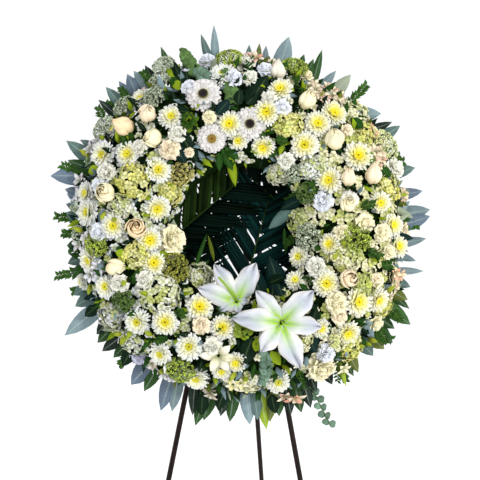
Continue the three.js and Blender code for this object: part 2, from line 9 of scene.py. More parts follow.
import bpy
import numpy as np
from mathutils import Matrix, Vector


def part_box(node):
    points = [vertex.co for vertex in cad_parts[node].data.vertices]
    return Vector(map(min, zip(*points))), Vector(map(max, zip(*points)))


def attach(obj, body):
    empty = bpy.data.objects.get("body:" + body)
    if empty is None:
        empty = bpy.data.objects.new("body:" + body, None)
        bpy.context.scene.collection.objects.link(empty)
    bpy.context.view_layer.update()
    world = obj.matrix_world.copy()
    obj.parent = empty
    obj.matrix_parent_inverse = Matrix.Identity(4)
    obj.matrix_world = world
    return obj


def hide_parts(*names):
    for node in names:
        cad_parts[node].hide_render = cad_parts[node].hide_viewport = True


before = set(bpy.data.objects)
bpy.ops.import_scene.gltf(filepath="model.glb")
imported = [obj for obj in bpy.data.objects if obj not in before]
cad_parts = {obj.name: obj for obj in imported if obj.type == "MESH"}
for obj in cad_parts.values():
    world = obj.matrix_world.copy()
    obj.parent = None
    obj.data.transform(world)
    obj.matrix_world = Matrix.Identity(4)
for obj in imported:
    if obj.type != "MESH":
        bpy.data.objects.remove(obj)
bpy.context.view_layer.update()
BODY = "wreath_and_front_frame"
rng = np.random.default_rng(7)
uniform = rng.uniform

MM = 0.001
LEAN = math.atan(0.15)
TRAY_MIDDLE = -14.15
COS, SIN = math.cos(LEAN), math.sin(LEAN)
TURN = np.array([[1, 0, 0], [0, COS, SIN], [0, -SIN, COS]])
TRAY_LOW, TRAY_HIGH = (np.array(c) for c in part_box("ring_tray"))
CENTRE = (TRAY_LOW + TRAY_HIGH) / 2 - TURN @ np.array([0, TRAY_MIDDLE, 0]) * MM

RING_MEAN, RING_HALF, RING_DEPTH, RING_BACK = 238.0, 108.0, 100.0, -8.3
RING_SECTION, HOLE_RADIUS, FLOWER_BACK = 104, 141, -24
FOAM_INNER, FOAM_OUTER, FOAM_FRONT, GAP = 160.0, 316.0, -62.0, 0.35
HEAD_LIFT = 17.0
RIM_ROOT, FRINGE_ROOT, SPRIG_LAYER, RIM_LAYER = 335, 328, -13, -17.0
NEARER = 1.02
GOLDEN_ANGLE = 2.399963
ANY_SPIN = 6.28
FULL_TURN = 2 * math.pi
FRONT = np.array([0, -1.0, 0])
PHOTO_WIDTH_MM = 1032.0
VIEW_DISTANCE, LENS_SHARE = 3.28, 0.08
VIEW_X, VIEW_Z = -2.0, -25.8
SENSOR = 36.0
SKY, SKY_STRENGTH = (0.98, 0.99, 1.0, 1), 1.06
FLOOR_REACH = 400.0

PALETTE = {
    # cool is white with a painted bluish shade and warm is white with painted warm sunlight; white petals are
    # tinted from one to the other across the wreath, and the blooms that name them take these tints too.
    "white": (0.86, 0.85, 0.76), "pearl": (0.84, 0.86, 0.83), "cool": (0.82, 0.85, 0.91),
    "cream": (0.92, 0.86, 0.6), "warm": (0.92, 0.86, 0.6), "yellow": (0.93, 0.8, 0.03),
    "lime": (0.54, 0.6, 0.09), "lemon": (0.88, 0.8, 0.16), "pale_green": (0.58, 0.64, 0.28),
    "blush": (0.95, 0.83, 0.62), "peach": (0.94, 0.76, 0.5), "lilac": (0.66, 0.66, 0.82),
    "pale_blue": (0.6, 0.7, 0.82), "moss": (0.24, 0.31, 0.035), "sage": (0.34, 0.39, 0.28),
    "forest": (0.065, 0.12, 0.018), "khaki": (0.2, 0.2, 0.025), "sand": (0.34, 0.3, 0.09),
    "olive": (0.12, 0.15, 0.012), "silver": (0.22, 0.31, 0.34), "grey": (0.1, 0.17, 0.16),
    "slate": (0.13, 0.18, 0.25), "mauve": (0.52, 0.48, 0.54), "dark": (0.002, 0.014, 0.006),
    "mid": (0.016, 0.07, 0.006), "bright": (0.3, 0.42, 0.015), "teal": (0.003, 0.02, 0.02),
    # The palm tones keep the leaves' own hues but are far darker than a leaf: painted shade of the hole inside
    # the ring, with palm near black as painted deep shade.
    "palm": (0.0003, 0.003, 0.0025), "palm_olive": (0.009, 0.021, 0.003), "palm_teal": (0.001, 0.013, 0.013),
    "gum": (0.11, 0.21, 0.06), "gum_blue": (0.17, 0.28, 0.2), "gum_lime": (0.26, 0.36, 0.05),
    "sprig": (0.036, 0.115, 0.012), "stem": (0.08, 0.14, 0.02), "disc": (0.95, 0.8, 0.008),
    "disc_heart": (0.62, 0.5, 0.01), "ink": (0.02, 0.01, 0.012), "tan": (0.34, 0.2, 0.03),
    "russet": (0.55, 0.24, 0.2), "brown": (0.5, 0.36, 0.26), "rust": (0.66, 0.2, 0.12),
    # lily is a lavender grey that stands for painted shade on white tepals.
    "pistil": (0.26, 0.42, 0.02), "lily": (0.46, 0.49, 0.57), "gerbera": (0.75, 0.72, 0.7),
}

# Blooms as (x, z, diameter, more): how yellow the middle is, for these.
CHRYSANTHEMUMS = [
    (-148, 236, 56, 0.5), (-217, 280, 56, 0.3), (-275, 213, 43, 0.3), (-297, 157, 60, 0.4),
    (-241, 157, 54, 0.7), (-176, 123, 56, 0.7), (-333, 75, 52, 0.3), (-178, 41, 58, 0.8), (-329, 34, 60, 0.3),
    (-271, 4, 54, 0.7), (-194, -26, 54, 1.0), (-325, -69, 56, 0.4), (-185, -75, 54, 1.0),
    (-288, -125, 54, 0.4), (-221, -200, 58, 0.4), (-161, -200, 58, 0.8), (-88, -168, 58, 1.0),
    (-39, -211, 54, 0.8), (-110, -252, 60, 0.4), (-172, -269, 54, 0.3), (-97, -323, 58, 0.4),
    (-11, -286, 47, 0.7), (80, -331, 54, 0.2), (228, -224, 54, 0.9), (170, -213, 43, 0.5),
    (249, -157, 64, 0.9), (295, -155, 52, 0.6), (181, -118, 58, 0.8), (116, -112, 43, 0.4),
    (125, -62, 49, 0.4), (189, -34, 47, 0.8), (325, 6, 49, 0.8), (297, 54, 47, 0.8), (187, 101, 56, 0.9),
    (249, 153, 64, 1.0), (135, 176, 60, 0.8), (163, 221, 56, 0.9), (198, 245, 62, 0.9), (84, 295, 56, 0.8),
    (54, 245, 58, 0.9), (-24, 221, 54, 1.0), (47, 172, 52, 0.9), (-6, 187, 47, 0.5), (-39, 330, 62, 0.0),
    (338, -39, 52, 0.7), (-350, -118, 39, 0.3), (-41, -305, 43, 0.4),
]
# From here on more is a colour.
CARNATIONS = [
    (-73, 366, 43, "cool"), (13, 355, 41, "white"), (52, 340, 37, "cool"), (88, 254, 39, "cool"),
    (-150, 166, 43, "blush"), (-286, 118, 41, "white"), (-67, 234, 30, "cream"), (331, 129, 47, "white"),
    (174, 56, 43, "cool"), (226, 209, 26, "blush"), (161, -84, 43, "white"), (202, -159, 47, "warm"),
    (288, -112, 34, "blush"), (209, -189, 34, "blush"), (181, -269, 41, "cool"), (-258, -118, 39, "white"),
    (-84, -206, 39, "blush"), (-228, -282, 39, "lilac"), (-150, -26, 60, "cream"), (316, -52, 30, "warm"),
    (97, 144, 39, "white"), (290, -206, 39, "cream"), (-120, 345, 38, "cool"), (-215, 170, 36, "white"),
    (-300, -10, 40, "cool"), (-60, -250, 40, "white"), (140, 330, 36, "warm"), (262, 10, 40, "warm"),
    (-205, -110, 38, "white"), (215, -10, 36, "cream"), (-135, 200, 36, "white"), (60, 275, 34, "white"),
    (300, -10, 38, "cream"), (-110, 300, 36, "cool"), (230, 60, 36, "white"), (-300, 90, 36, "cool"),
    (171, -301, 62, "cream"), (-14, 318, 40, "cool"), (-110, 160, 22, "blush"), (20, 320, 34, "white"),
]
HYDRANGEAS = [
    (-228, 99, 73, "lemon"), (-150, 73, 47, "lemon"), (247, 247, 65, "cream"), (99, 219, 56, "lemon"),
    (153, 129, 52, "cool"), (80, 118, 47, "white"), (129, 15, 60, "pale_green"), (221, -62, 60, "cream"),
    (316, 86, 52, "lemon"), (-226, -62, 56, "lemon"), (-172, -138, 82, "white"), (-90, -103, 56, "white"),
    (-277, -189, 60, "lilac"), (260, -120, 52, "lime"), (310, -170, 52, "lemon"), (-355, 54, 43, "pale_blue"),
    (-256, 45, 47, "white"), (130, -235, 50, "warm"), (-240, -240, 52, "cool"), (20, -330, 44, "white"),
    (242, -262, 60, "lemon"), (268, 196, 54, "lemon"), (206, -240, 44, "warm"),
]
SMALL_UMBELS = [
    (-178, 325, 56, "sage"), (-185, 280, 52, "sage"), (-170, 359, 52, "sage"), (-258, 269, 52, "sage"),
    (-300, 220, 60, "sage"), (142, 75, 49, "forest"), (146, -19, 62, "sage"), (-307, -34, 56, "moss"),
    (-249, -155, 52, "forest"), (-127, 118, 52, "sand"), (114, 118, 43, "sage"), (-350, -15, 43, "sage"),
]
LARGE_UMBELS = [
    (-24, 371, 64, "moss"), (120, 353, 60, "moss"), (316, 180, 74, "pale_green"), (243, -22, 65, "moss"),
    (-144, -86, 68, "khaki"), (-129, -301, 65, "moss"),
]
SMALL_LILIES = [
    (161, 299, 34, "brown"), (189, 305, 34, "russet"), (209, 284, 32, "brown"), (178, 283, 30, "russet"),
    (33, 378, 36, "rust"), (20, 384, 28, "russet"), (71, 366, 32, "russet"), (284, 204, 34, "rust"),
    (288, 163, 34, "brown"), (304, 150, 30, "russet"), (353, 73, 34, "brown"), (362, 58, 28, "russet"),
    (357, -4, 30, "brown"), (346, -105, 34, "rust"), (340, -131, 30, "brown"), (-312, 188, 38, "mauve"),
    (-334, 176, 34, "mauve"), (-356, 104, 38, "mauve"), (-362, 76, 34, "mauve"), (-352, -34, 35, "mauve"),
    (-325, -101, 36, "lilac"), (-194, -295, 30, "brown"), (-170, -323, 30, "lilac"), (120, -376, 44, "rust"),
    (98, -372, 40, "russet"), (-67, -370, 34, "brown"), (228, -312, 32, "cream"), (-48, -272, 66, "cream"),
    (-17, -338, 34, "lemon"), (11, -344, 34, "lemon"), (-218, 300, 28, "rust"),
]
# A rose also has the way it faces, as x and z against 1 to the front, and how far it is open.
ROSES = [
    (-200, 241, 46, "blush", 0.2, 0.4, 0.12), (-247, 215, 50, "peach", -0.9, 0.5, 0.0),
    (-183, 191, 44, "cream", -0.7, -0.1, 0.15), (-284, 73, 46, "cream", -0.4, 0.2, 0.3),
    (-224, -4, 46, "peach", 0.1, 0.3, 0.3), (-273, -84, 42, "cream", 1.4, 0.1, 0.1),
    (80, 333, 40, "white", 0.1, 2.0, 0.0), (138, 267, 43, "cream", 0.5, 0.9, 0.15),
    (199, 184, 52, "warm", -0.1, 0.6, 0.1), (282, 108, 46, "blush", 0.2, 1.6, 0.0),
    (228, 101, 38, "blush", 0.1, 1.3, 0.1), (226, 47, 36, "cream", 0.1, 0.5, 0.3),
    (226, -108, 43, "blush", 0.3, 0.2, 0.35),
]
GERBERAS = [
    (-80, 284, 75, "ink"), (19, 221, 71, "ink"), (-62, 190, 64, "tan"),
]
# A lily's tips are (x, z) from its middle, and its widths are shares of LILY_WIDTH.
LILIES = {
    "open": {"at": (86, -200), "tips": [(82, -10), (62, 70), (-49, 70), (-102, 17), (-43, -58), (33, -97)],
             "widths": [0.95, 1.1, 0.85, 1.05, 1.0, 1.12], "pistil": (4, -26, -2), "stand": 28.0},
    "side": {"at": (-9, -157), "tips": [(22, 4), (37, 80), (-42, 80), (-80, 27), (-34, -16), (8, -22)],
             "widths": [0.4, 1.05, 0.85, 1.0, 0.6, 0.5], "pistil": (-34, -26, 57), "stand": 22.0},
}
LILY_WIDTH = 45.0

# Leaves as (root x, root z, tip x, tip z, width, colour), these among the blooms.
BANK_LEAVES = [
    (-132, 296, -162, 352, 22, "bright"), (-112, 270, -148, 366, 28, "dark"),
    (-108, 262, -122, 362, 30, "dark"), (-150, 252, -106, 244, 26, "dark"), (14, 262, 58, 326, 46, "dark"),
    (-6, 262, -2, 294, 24, "dark"), (-26, 272, -52, 238, 26, "teal"), (88, -144, 62, -62, 48, "teal"),
    (45, -150, 20, -78, 40, "teal"), (134, -212, 160, -266, 40, "teal"), (-158, 34, -128, -30, 13, "sage"),
    (-100, -86, -74, -12, 10, "mid"), (98, -54, 94, 2, 10, "mid"), (-58, -72, -72, -14, 9, "olive"),
    (24, -232, 2, -292, 42, "dark"), (-130, 202, -92, 140, 36, "dark"), (-140, 180, -118, 136, 28, "teal"),
    (-24, 152, -12, 92, 20, "bright"), (-40, 168, -18, 124, 22, "mid"), (-48, 160, -46, 122, 18, "mid"),
    (-34, 172, -4, 146, 20, "mid"), (114, 46, 60, -2, 26, "grey"), (128, 62, 86, 40, 26, "teal"),
    (-235, -262, -258, -300, 30, "dark"), (-312, -170, -340, -192, 26, "dark"),
    (-84, -362, -86, -408, 30, "dark"), (66, -362, 76, -404, 28, "dark"), (-36, -352, -50, -396, 30, "dark"),
    (64, -262, 84, -292, 22, "bright"), (40, -232, 30, -262, 22, "bright"), (236, 236, 262, 214, 24, "mid"),
    (300, 128, 322, 110, 22, "mid"), (-232, 184, -252, 166, 22, "mid"), (160, -170, 150, -206, 24, "dark"),
    (-150, -50, -182, -66, 20, "bright"), (-306, 130, -328, 118, 22, "bright"),
    (-240, -60, -266, -50, 20, "bright"), (60, -120, 92, -104, 26, "dark"),
    (-134, -118, -118, -92, 24, "dark"), (-52, -148, -66, -118, 22, "dark"),
]
# Rosettes of round leaves as (x, z, diameter, colour).
ROSETTES = [
    (-111, 226, 46, "mid"), (4, -215, 46, "gum_lime"), (268, 150, 36, "gum"), (-330, 146, 36, "gum_blue"),
]
# Sprigs of round leaves as (x, z, tip x, tip z, leaves, leaf size, colour).
ROUND_SPRIGS = [
    (-70, 312, -92, 338, 6, 22, "gum_blue"), (-92, 330, -128, 384, 11, 21, "gum"),
    (-12, 262, -32, 334, 13, 23, "gum"), (56, -258, 50, -330, 11, 22, "gum_blue"),
    (66, -300, 84, -350, 7, 18, "gum"),
]
# Tufts of small dark leaves among the blooms as (x, z, tip x, tip z).
TUFTS = [
    (66, 214, 42, 196), (96, 168, 62, 158), (100, 180, 76, 190), (136, 286, 118, 326), (150, 318, 138, 350),
    (270, 112, 268, 142), (252, 44, 284, 52), (270, -46, 298, -62), (-226, 196, -256, 190),
    (-236, -118, -214, -92), (140, -120, 164, -100), (-24, -160, -48, -176), (-40, -150, -36, -182),
    (-112, -190, -136, -176), (-156, -226, -180, -244), (-300, 240, -312, 264), (206, -262, 216, -300),
    (214, -290, 210, -334), (170, 76, 150, 96), (124, 74, 98, 60), (-330, 118, -308, 144),
    (-320, -20, -344, -26), (-252, 20, -236, -4), (300, -84, 322, -78), (120, -20, 96, -36),
    (-100, -84, -74, -78), (330, -176, 346, -200), (104, -306, 112, -352), (124, -304, 138, -350),
    (-196, 318, -216, 342), (-248, 282, -262, 306), (300, -214, 318, -250), (288, -206, 300, -246),
    (-232, 160, -252, 176), (-222, 176, -206, 160),
]
# Green buds as (x, z).
BUDS = [
    (-346, 166), (-293, 25), (-268, 18), (-352, -3), (-327, -133), (-264, -228), (-254, -240), (-238, -226),
    (-197, -224), (-204, -139), (-248, -117), (-172, -310), (218, -32), (200, -60), (292, -248), (262, -258),
    (282, -256), (322, -131), (-17, -316), (11, -322), (124, 332), (-140, 352), (-300, 196),
]
# Leaves at the rim, as those among the blooms.
RIM_LEAVES = [
    (-62, 376, -58, 436, 15, "silver"), (-66, 383, -86, 417, 15, "grey"), (86, 361, 103, 411, 31, "silver"),
    (56, 366, 54, 392, 14, "silver"), (168, 329, 174, 383, 15, "mid"), (205, 301, 236, 330, 24, "sage"),
    (180, 322, 204, 338, 16, "silver"), (252, 280, 301, 246, 28, "silver"), (295, 232, 325, 228, 16, "dark"),
    (310, 200, 342, 220, 22, "grey"), (338, 125, 374, 130, 22, "grey"), (366, 77, 390, 80, 20, "slate"),
    (353, 28, 406, 40, 26, "silver"), (359, 0, 406, 26, 26, "slate"), (363, -41, 398, -22, 16, "silver"),
    (361, -105, 392, -92, 13, "silver"), (350, -58, 376, -70, 13, "silver"),
    (350, -118, 364, -126, 20, "grey"), (342, -140, 358, -154, 22, "olive"),
    (327, -168, 364, -207, 28, "sprig"), (353, -144, 362, -173, 16, "mid"), (300, -192, 330, -216, 22, "mid"),
    (268, -222, 308, -260, 30, "olive"), (290, -210, 326, -246, 28, "mid"),
    (256, -236, 284, -274, 28, "grey"), (222, -270, 242, -318, 18, "mid"),
    (216, -276, 226, -340, 12, "bright"), (236, -262, 252, -310, 22, "olive"),
    (178, -296, 196, -336, 22, "dark"), (152, -318, 162, -352, 18, "dark"),
    (-327, 144, -375, 188, 26, "grey"), (-346, 129, -409, 112, 34, "slate"),
    (-330, 130, -372, 146, 20, "mid"), (-267, 275, -290, 303, 24, "grey"),
    (-250, 288, -262, 316, 22, "slate"), (-243, 297, -244, 331, 28, "slate"),
    (-213, 318, -230, 338, 24, "silver"), (-196, 330, -206, 350, 20, "dark"),
    (-160, 350, -172, 390, 16, "mid"), (-280, 256, -306, 276, 18, "dark"),
    (-325, -176, -378, -230, 30, "silver"), (-300, -205, -310, -228, 24, "dark"),
    (-274, -250, -298, -264, 24, "dark"), (-258, -262, -274, -278, 22, "mid"),
    (-200, -302, -236, -336, 34, "slate"), (-190, -318, -208, -350, 24, "mid"),
    (-163, -338, -172, -392, 28, "slate"), (-148, -338, -148, -394, 24, "silver"),
    (-13, -370, -24, -416, 24, "mid"), (11, -366, 19, -422, 26, "silver"), (45, -381, 55, -432, 23, "bright"),
    (84, -370, 62, -416, 22, "olive"), (-77, -381, -98, -424, 26, "mid"), (-64, -370, -80, -413, 28, "mid"),
    (90, -362, 82, -404, 26, "mid"), (-30, -366, -44, -404, 24, "dark"), (30, -370, 36, -412, 24, "grey"),
    (16, 366, 18, 394, 14, "grey"), (38, 366, 40, 397, 13, "olive"), (128, 350, 136, 374, 18, "mid"),
    (148, 338, 156, 364, 16, "mid"), (-350, 74, -378, 84, 22, "slate"), (-316, -140, -356, -168, 26, "grey"),
    (-284, -215, -308, -246, 24, "mid"), (-306, 172, -346, 190, 16, "grey"),
    (-350, 40, -376, 52, 20, "slate"), (-108, -346, -104, -402, 20, "dark"),
    (118, -336, 130, -396, 26, "mid"), (138, -330, 150, -386, 24, "dark"), (100, -350, 108, -400, 26, "dark"),
    (-352, 14, -376, 34, 22, "grey"), (-350, -60, -372, -76, 22, "grey"), (-346, -84, -366, -98, 20, "mid"),
    (-340, -120, -360, -144, 24, "grey"), (-350, 60, -374, 74, 22, "slate"),
    (-348, -30, -374, -38, 20, "mid"),
]
# Sprigs of small leaves at the rim as (x, z, tip x, tip z).
RIM_SPRIGS = [
    (338, 132, 356, 146), (336, 148, 346, 160), (352, 18, 390, 6), (222, 258, 276, 315),
    (-336, 118, -392, 138), (-352, 19, -406, 26), (-350, -14, -390, -12), (-346, -40, -374, -44),
    (-344, -64, -366, -66), (-344, -97, -404, -104), (-338, -128, -370, -140), (-280, 262, -296, 276),
    (306, -226, 322, -250), (222, -300, 230, -334), (-240, -270, -266, -300), (-210, 316, -222, 336),
    (300, -236, 330, -244),
]
TRAILING_SPRIG = (142, -329, 196, -432)
# Palm fronds as (x, z, tip x, tip z, reach of the leaflets).
PALM_FRONDS = [
    (-196, -60, -8, 100, 78), (-10, -196, 60, 60, 80), (196, -40, 10, 120, 84), (150, -150, 90, 110, 70),
    (-120, -160, -60, 40, 62),
]
PALM_FRONT, PALM_PITCH, PALM_LEAFLETS = -8.0, 1.7, 28
FRINGE_COLOURS = ["dark", "mid", "mid", "silver", "teal", "olive", "sage"]
FILLER_COLOURS = ["mid", "dark", "bright", "silver", "dark"]

# Widths of blades from root to tip, as shares of the widest.
STRAP = [0.42, 0.8, 1.0, 0.96, 0.56]
ROUND = [0.4, 1.0, 0.72]
FINGER = [0.72, 1.0, 1.0, 0.92, 0.7, 0.4, 0.05]
OVATE = [0.14, 0.62, 0.95, 1.0, 0.86, 0.55, 0.04]
SPEAR = [0.16, 0.6, 0.94, 0.96, 0.7, 0.36, 0.04]
TEPAL = [0, 0.12, 0.3, 0.5, 0.68, 0.84, 0.94, 1], [0.4, 0.7, 0.95, 1.0, 0.92, 0.7, 0.42, 0.06]


def tone(name):
    """The linear colour of a name in the palette."""
    return np.array(PALETTE[name])


def column_of(spots, index):
    return np.array([s[index] for s in spots], float)


def tones_of(spots, index=3):
    """The colours that the rows name, one to a row."""
    return np.array([tone(s[index]) for s in spots])


def mixed(a, b, share):
    share = np.asarray(share)[..., None]
    return a * (1 - share) + b * share


def painted_daylight(x):
    """Painted light on white petals: bluish painted shade on the left of the wreath, painted warm sunlight on
    the right.
    """
    return mixed(tone("cool"), tone("warm"), np.clip((np.asarray(x, float) + 260) / 520, 0, 1))


def unit(vectors):
    return vectors / np.linalg.norm(vectors, axis=-1, keepdims=True)


def column(value, count):
    """One value or an array of them, as an array of blades by 1 by 1."""
    return np.broadcast_to(np.asarray(value, float), (count,))[:, None, None]


def to_row(points):
    """Points of the wreath's flat frame in millimetres, in the row's frame in metres."""
    return points.reshape(-1, 3) @ TURN.T * MM + CENTRE


def round_ring(angle, radius, y):
    """Points at an angle round the ring's axis, a radius from it and at the depth y."""
    return np.stack(np.broadcast_arrays(np.cos(angle) * radius, y, np.sin(angle) * radius), -1)


class Batch:
    """Blades gathered for one piece, with a colour and their two surface coordinates at each vertex."""

    def __init__(self):
        self.verts, self.quads, self.tones, self.along, self.side, self.count = [], [], [], [], [], 0

    def add(self, verts, quads, tones, along, side):
        self.verts.append(verts.reshape(-1, 3))
        self.quads.append(quads + self.count)
        self.tones.append(np.broadcast_to(tones, verts.shape).reshape(-1, 3))
        self.along.append(np.broadcast_to(along, verts.shape[:-1]).reshape(-1))
        self.side.append(np.broadcast_to(side, verts.shape[:-1]).reshape(-1))
        self.count += verts.size // 3

    def build(self, name, material, slot, replaced=()):
        """The batch as one mesh object that rides on the wreath and stands for the replaced nodes."""
        verts = to_row(np.concatenate(self.verts))
        quads = np.concatenate(self.quads)
        mesh = bpy.data.meshes.new(name)
        mesh.vertices.add(len(verts))
        mesh.vertices.foreach_set("co", verts.ravel())
        mesh.loops.add(quads.size)
        mesh.loops.foreach_set("vertex_index", quads.ravel())
        mesh.polygons.add(len(quads))
        mesh.polygons.foreach_set("loop_start", np.arange(0, quads.size, 4))
        mesh.polygons.foreach_set("use_smooth", np.ones(len(quads), bool))
        mesh.update(calc_edges=True)
        colours = np.ones((len(verts), 4))
        colours[:, :3] = np.clip(np.concatenate(self.tones), 0, 1)
        mesh.attributes.new("tone", "FLOAT_COLOR", "POINT").data.foreach_set("color", colours.ravel())
        for key, values in (("along", self.along), ("side", self.side)):
            mesh.attributes.new(key, "FLOAT", "POINT").data.foreach_set("value", np.concatenate(values))
        mesh.materials.append(material)
        piece = bpy.data.objects.new(name, mesh)
        bpy.context.scene.collection.objects.link(piece)
        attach(piece, BODY)
        if replaced:
            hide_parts(*replaced)


def blade_quads(count, stations, around):
    """Faces of count closed blades, each a row of rings of points with both ends closed."""
    ring = np.arange(stations * around).reshape(stations, around)
    low, high = ring[:-1], ring[1:]
    walls = np.stack([low, high, np.roll(high, -1, 1), np.roll(low, -1, 1)], -1).reshape(-1, 4)
    i = np.arange(around // 2 - 1)
    cap = np.stack([i, i + 1, around - 2 - i, around - 1 - i], -1)
    one = np.concatenate([walls, cap, (cap + (stations - 1) * around)[:, ::-1]])
    return (one[None] + (np.arange(count) * stations * around)[:, None, None]).reshape(-1, 4)


def loop_across(points):
    """Round a blade's section: s from -1 to 1 on its upper face and back on its lower one, and which face."""
    s = np.concatenate([np.linspace(-1, 1, points), np.linspace(1, -1, points)])
    return s[None, None, :], np.repeat([0.0, 1.0], points)[None, None, :]


def add_blades(batch, base, out, across, up, length, width, outline, tones, root=None, fade=0.5, rise=0.0,
               curl=0.0, cup=0.0, thick=0.7, ruffle=0.0, waves=3.0, points=2, groove=0.0, sway=0.0):
    """Blades from base points along out, wide along across, with their upper face to up.

    u runs from root to tip and s from -1 to 1 across. The middle line leaves at the angle rise and
    turns by curl on its way, so its direction is out cos a + up sin a with a = rise + curl u. A point
    lies s w(u) / 2 + sway u^2 to the side, where w is the width by the outline, and off that line by
    cup s^2 w(u) + width (ruffle u^2 sin(waves pi s + 5 a) - groove exp(-(s / 0.2)^2)).
    Where root is given, it is the colour at the root, and tones that from u = fade on.
    """
    profile = np.atleast_2d(outline)[:, :, None]
    n, stations = len(base), profile.shape[1]
    u = np.linspace(0, 1, stations)[None, :, None]
    s, lower = loop_across(points)
    angle = column(rise, n) + column(curl, n) * u
    step = np.diff(u, axis=1, prepend=0) * column(length, n)
    x, z = np.cumsum(np.cos(angle) * step, 1), np.cumsum(np.sin(angle) * step, 1)
    w = column(width, n)
    y = s * w / 2 * profile + column(sway, n) * u ** 2
    off = w * (column(cup, n) * s ** 2 * profile
               + column(ruffle, n) * u ** 2 * np.sin(waves * s * math.pi + angle * 5)
               - groove * np.exp(-(s / 0.2) ** 2)) - thick * lower
    x, y, z = (np.broadcast_to(v, (n, stations, 2 * points))[..., None]
               for v in (x - np.sin(angle) * off, y, z + np.cos(angle) * off))
    base, out, across, up = (np.asarray(v, float)[:, None, None, :] for v in (base, out, across, up))
    colours = np.broadcast_to(tones, (n, 3))[:, None, None, :]
    if root is not None:
        share = np.clip(u / fade, 0, 1)[..., None]
        colours = np.broadcast_to(root, (n, 3))[:, None, None, :] * (1 - share) + colours * share
    batch.add(base + x * out + y * across + z * up, blade_quads(n, stations, 2 * points), colours, u, s)


def add_spans(batch, base, tip, width, tones, outline, cup, curl=0.0, facing=FRONT, points=5):
    """Blades from base to tip points whose upper faces look as nearly as they can to facing."""
    out = unit(tip - base)
    side = unit(np.cross(np.broadcast_to(facing, out.shape), out))
    add_blades(batch, base, out, side, np.cross(out, side), np.linalg.norm(tip - base, axis=1), width, outline,
               tones, rise=-curl / 2, curl=curl, cup=cup, thick=0.6, points=points)


def on_bank(x, z, lift):
    """A point over the bank straight in front of the place (x, z)."""
    x, z = np.asarray(x, float), np.asarray(z, float)
    cos = (RING_MEAN - np.hypot(x, z)) / (RING_HALF + lift)
    return np.stack([x, RING_BACK - (RING_DEPTH + lift) * np.sqrt(np.maximum(1 - cos ** 2, 0.06)), z], -1)


def turned_to(facing, spins=ANY_SPIN):
    """Matrices whose third column is the given direction, each spun about it by chance."""
    spin = uniform(0, spins, len(facing))
    up = unit(facing)
    side = unit(np.cross(up, np.array([0.3, 0.2, 0.93])))
    other = np.cross(up, side)
    c, s = np.cos(spin)[:, None], np.sin(spin)[:, None]
    return np.stack([side * c + other * s, other * c - side * s, up], -1)


def heads(spots, lift=HEAD_LIFT, sway=0.0):
    """Centres of heads on the bank, matrices whose third column is where they face, count and radii.

    The bank's section is half an ellipse, and a head faces 70% outwards from it and 30% forwards.
    """
    x, z = column_of(spots, 0), column_of(spots, 1)
    radius = np.hypot(x, z)
    half, depth = RING_HALF + lift, RING_DEPTH + lift
    cos = np.clip((RING_MEAN - radius) / half, -0.96, 0.96)
    sin = np.sqrt(1 - cos ** 2)
    far = np.maximum(RING_MEAN - half * cos, np.where(radius > RING_MEAN, radius * 0.985, 0))
    centre = np.stack([x / radius * far, RING_BACK - depth * sin, z / radius * far], -1)
    normal = unit(np.stack([-cos / half * x / radius, -sin / depth, -cos / half * z / radius], -1))
    facing = normal * 0.7 + FRONT * 0.3 + uniform(-sway, sway, centre.shape)
    size = column_of(spots, 2)[:, None] / 2 if len(spots[0]) > 2 else None
    return centre, turned_to(facing, FULL_TURN), len(spots), size


def whorl(batch, centre, turn, azimuth, foot, height, length, width, outline, tones, root=None, **shape):
    """One blade at each azimuth of each head: arrays are heads by blades, or one value for all."""
    grid = azimuth.shape
    cos, sin = np.cos(azimuth), np.sin(azimuth)

    def turned(*axes):
        local = np.stack(np.broadcast_arrays(*axes, cos)[:3], -1)
        return np.einsum("hij,hbj->hbi", turn, local).reshape(-1, 3)

    def flat(values, *more):
        return np.broadcast_to(values, grid + more).reshape(-1, *more)

    out, side, up = turned(cos, sin, 0.0), turned(-sin, cos, 0.0), turned(0.0, 0.0, 1.0)
    base = np.repeat(centre, grid[1], 0) + out * flat(foot)[:, None] + up * flat(height)[:, None]
    shape = {key: flat(v) if isinstance(v, np.ndarray) else v for key, v in shape.items()}
    add_blades(batch, base, out, side, up, flat(length), flat(width), outline, flat(tones, 3),
               None if root is None else flat(root, 3), **shape)


def ring_angles(rows, count, jitter, offset=0.0):
    """Even azimuths round each head, each a little off its place."""
    return np.arange(count) * FULL_TURN / count + offset + uniform(-jitter, jitter, (rows, count))


def disc_places(r, share, count):
    """Even places over a disc of share r by the golden angle, as number, azimuth and distance."""
    i = np.arange(count)
    azimuth = np.broadcast_to(i * GOLDEN_ANGLE, (len(r), count))
    return i, azimuth, r * share * np.sqrt((i + 0.5) / count)


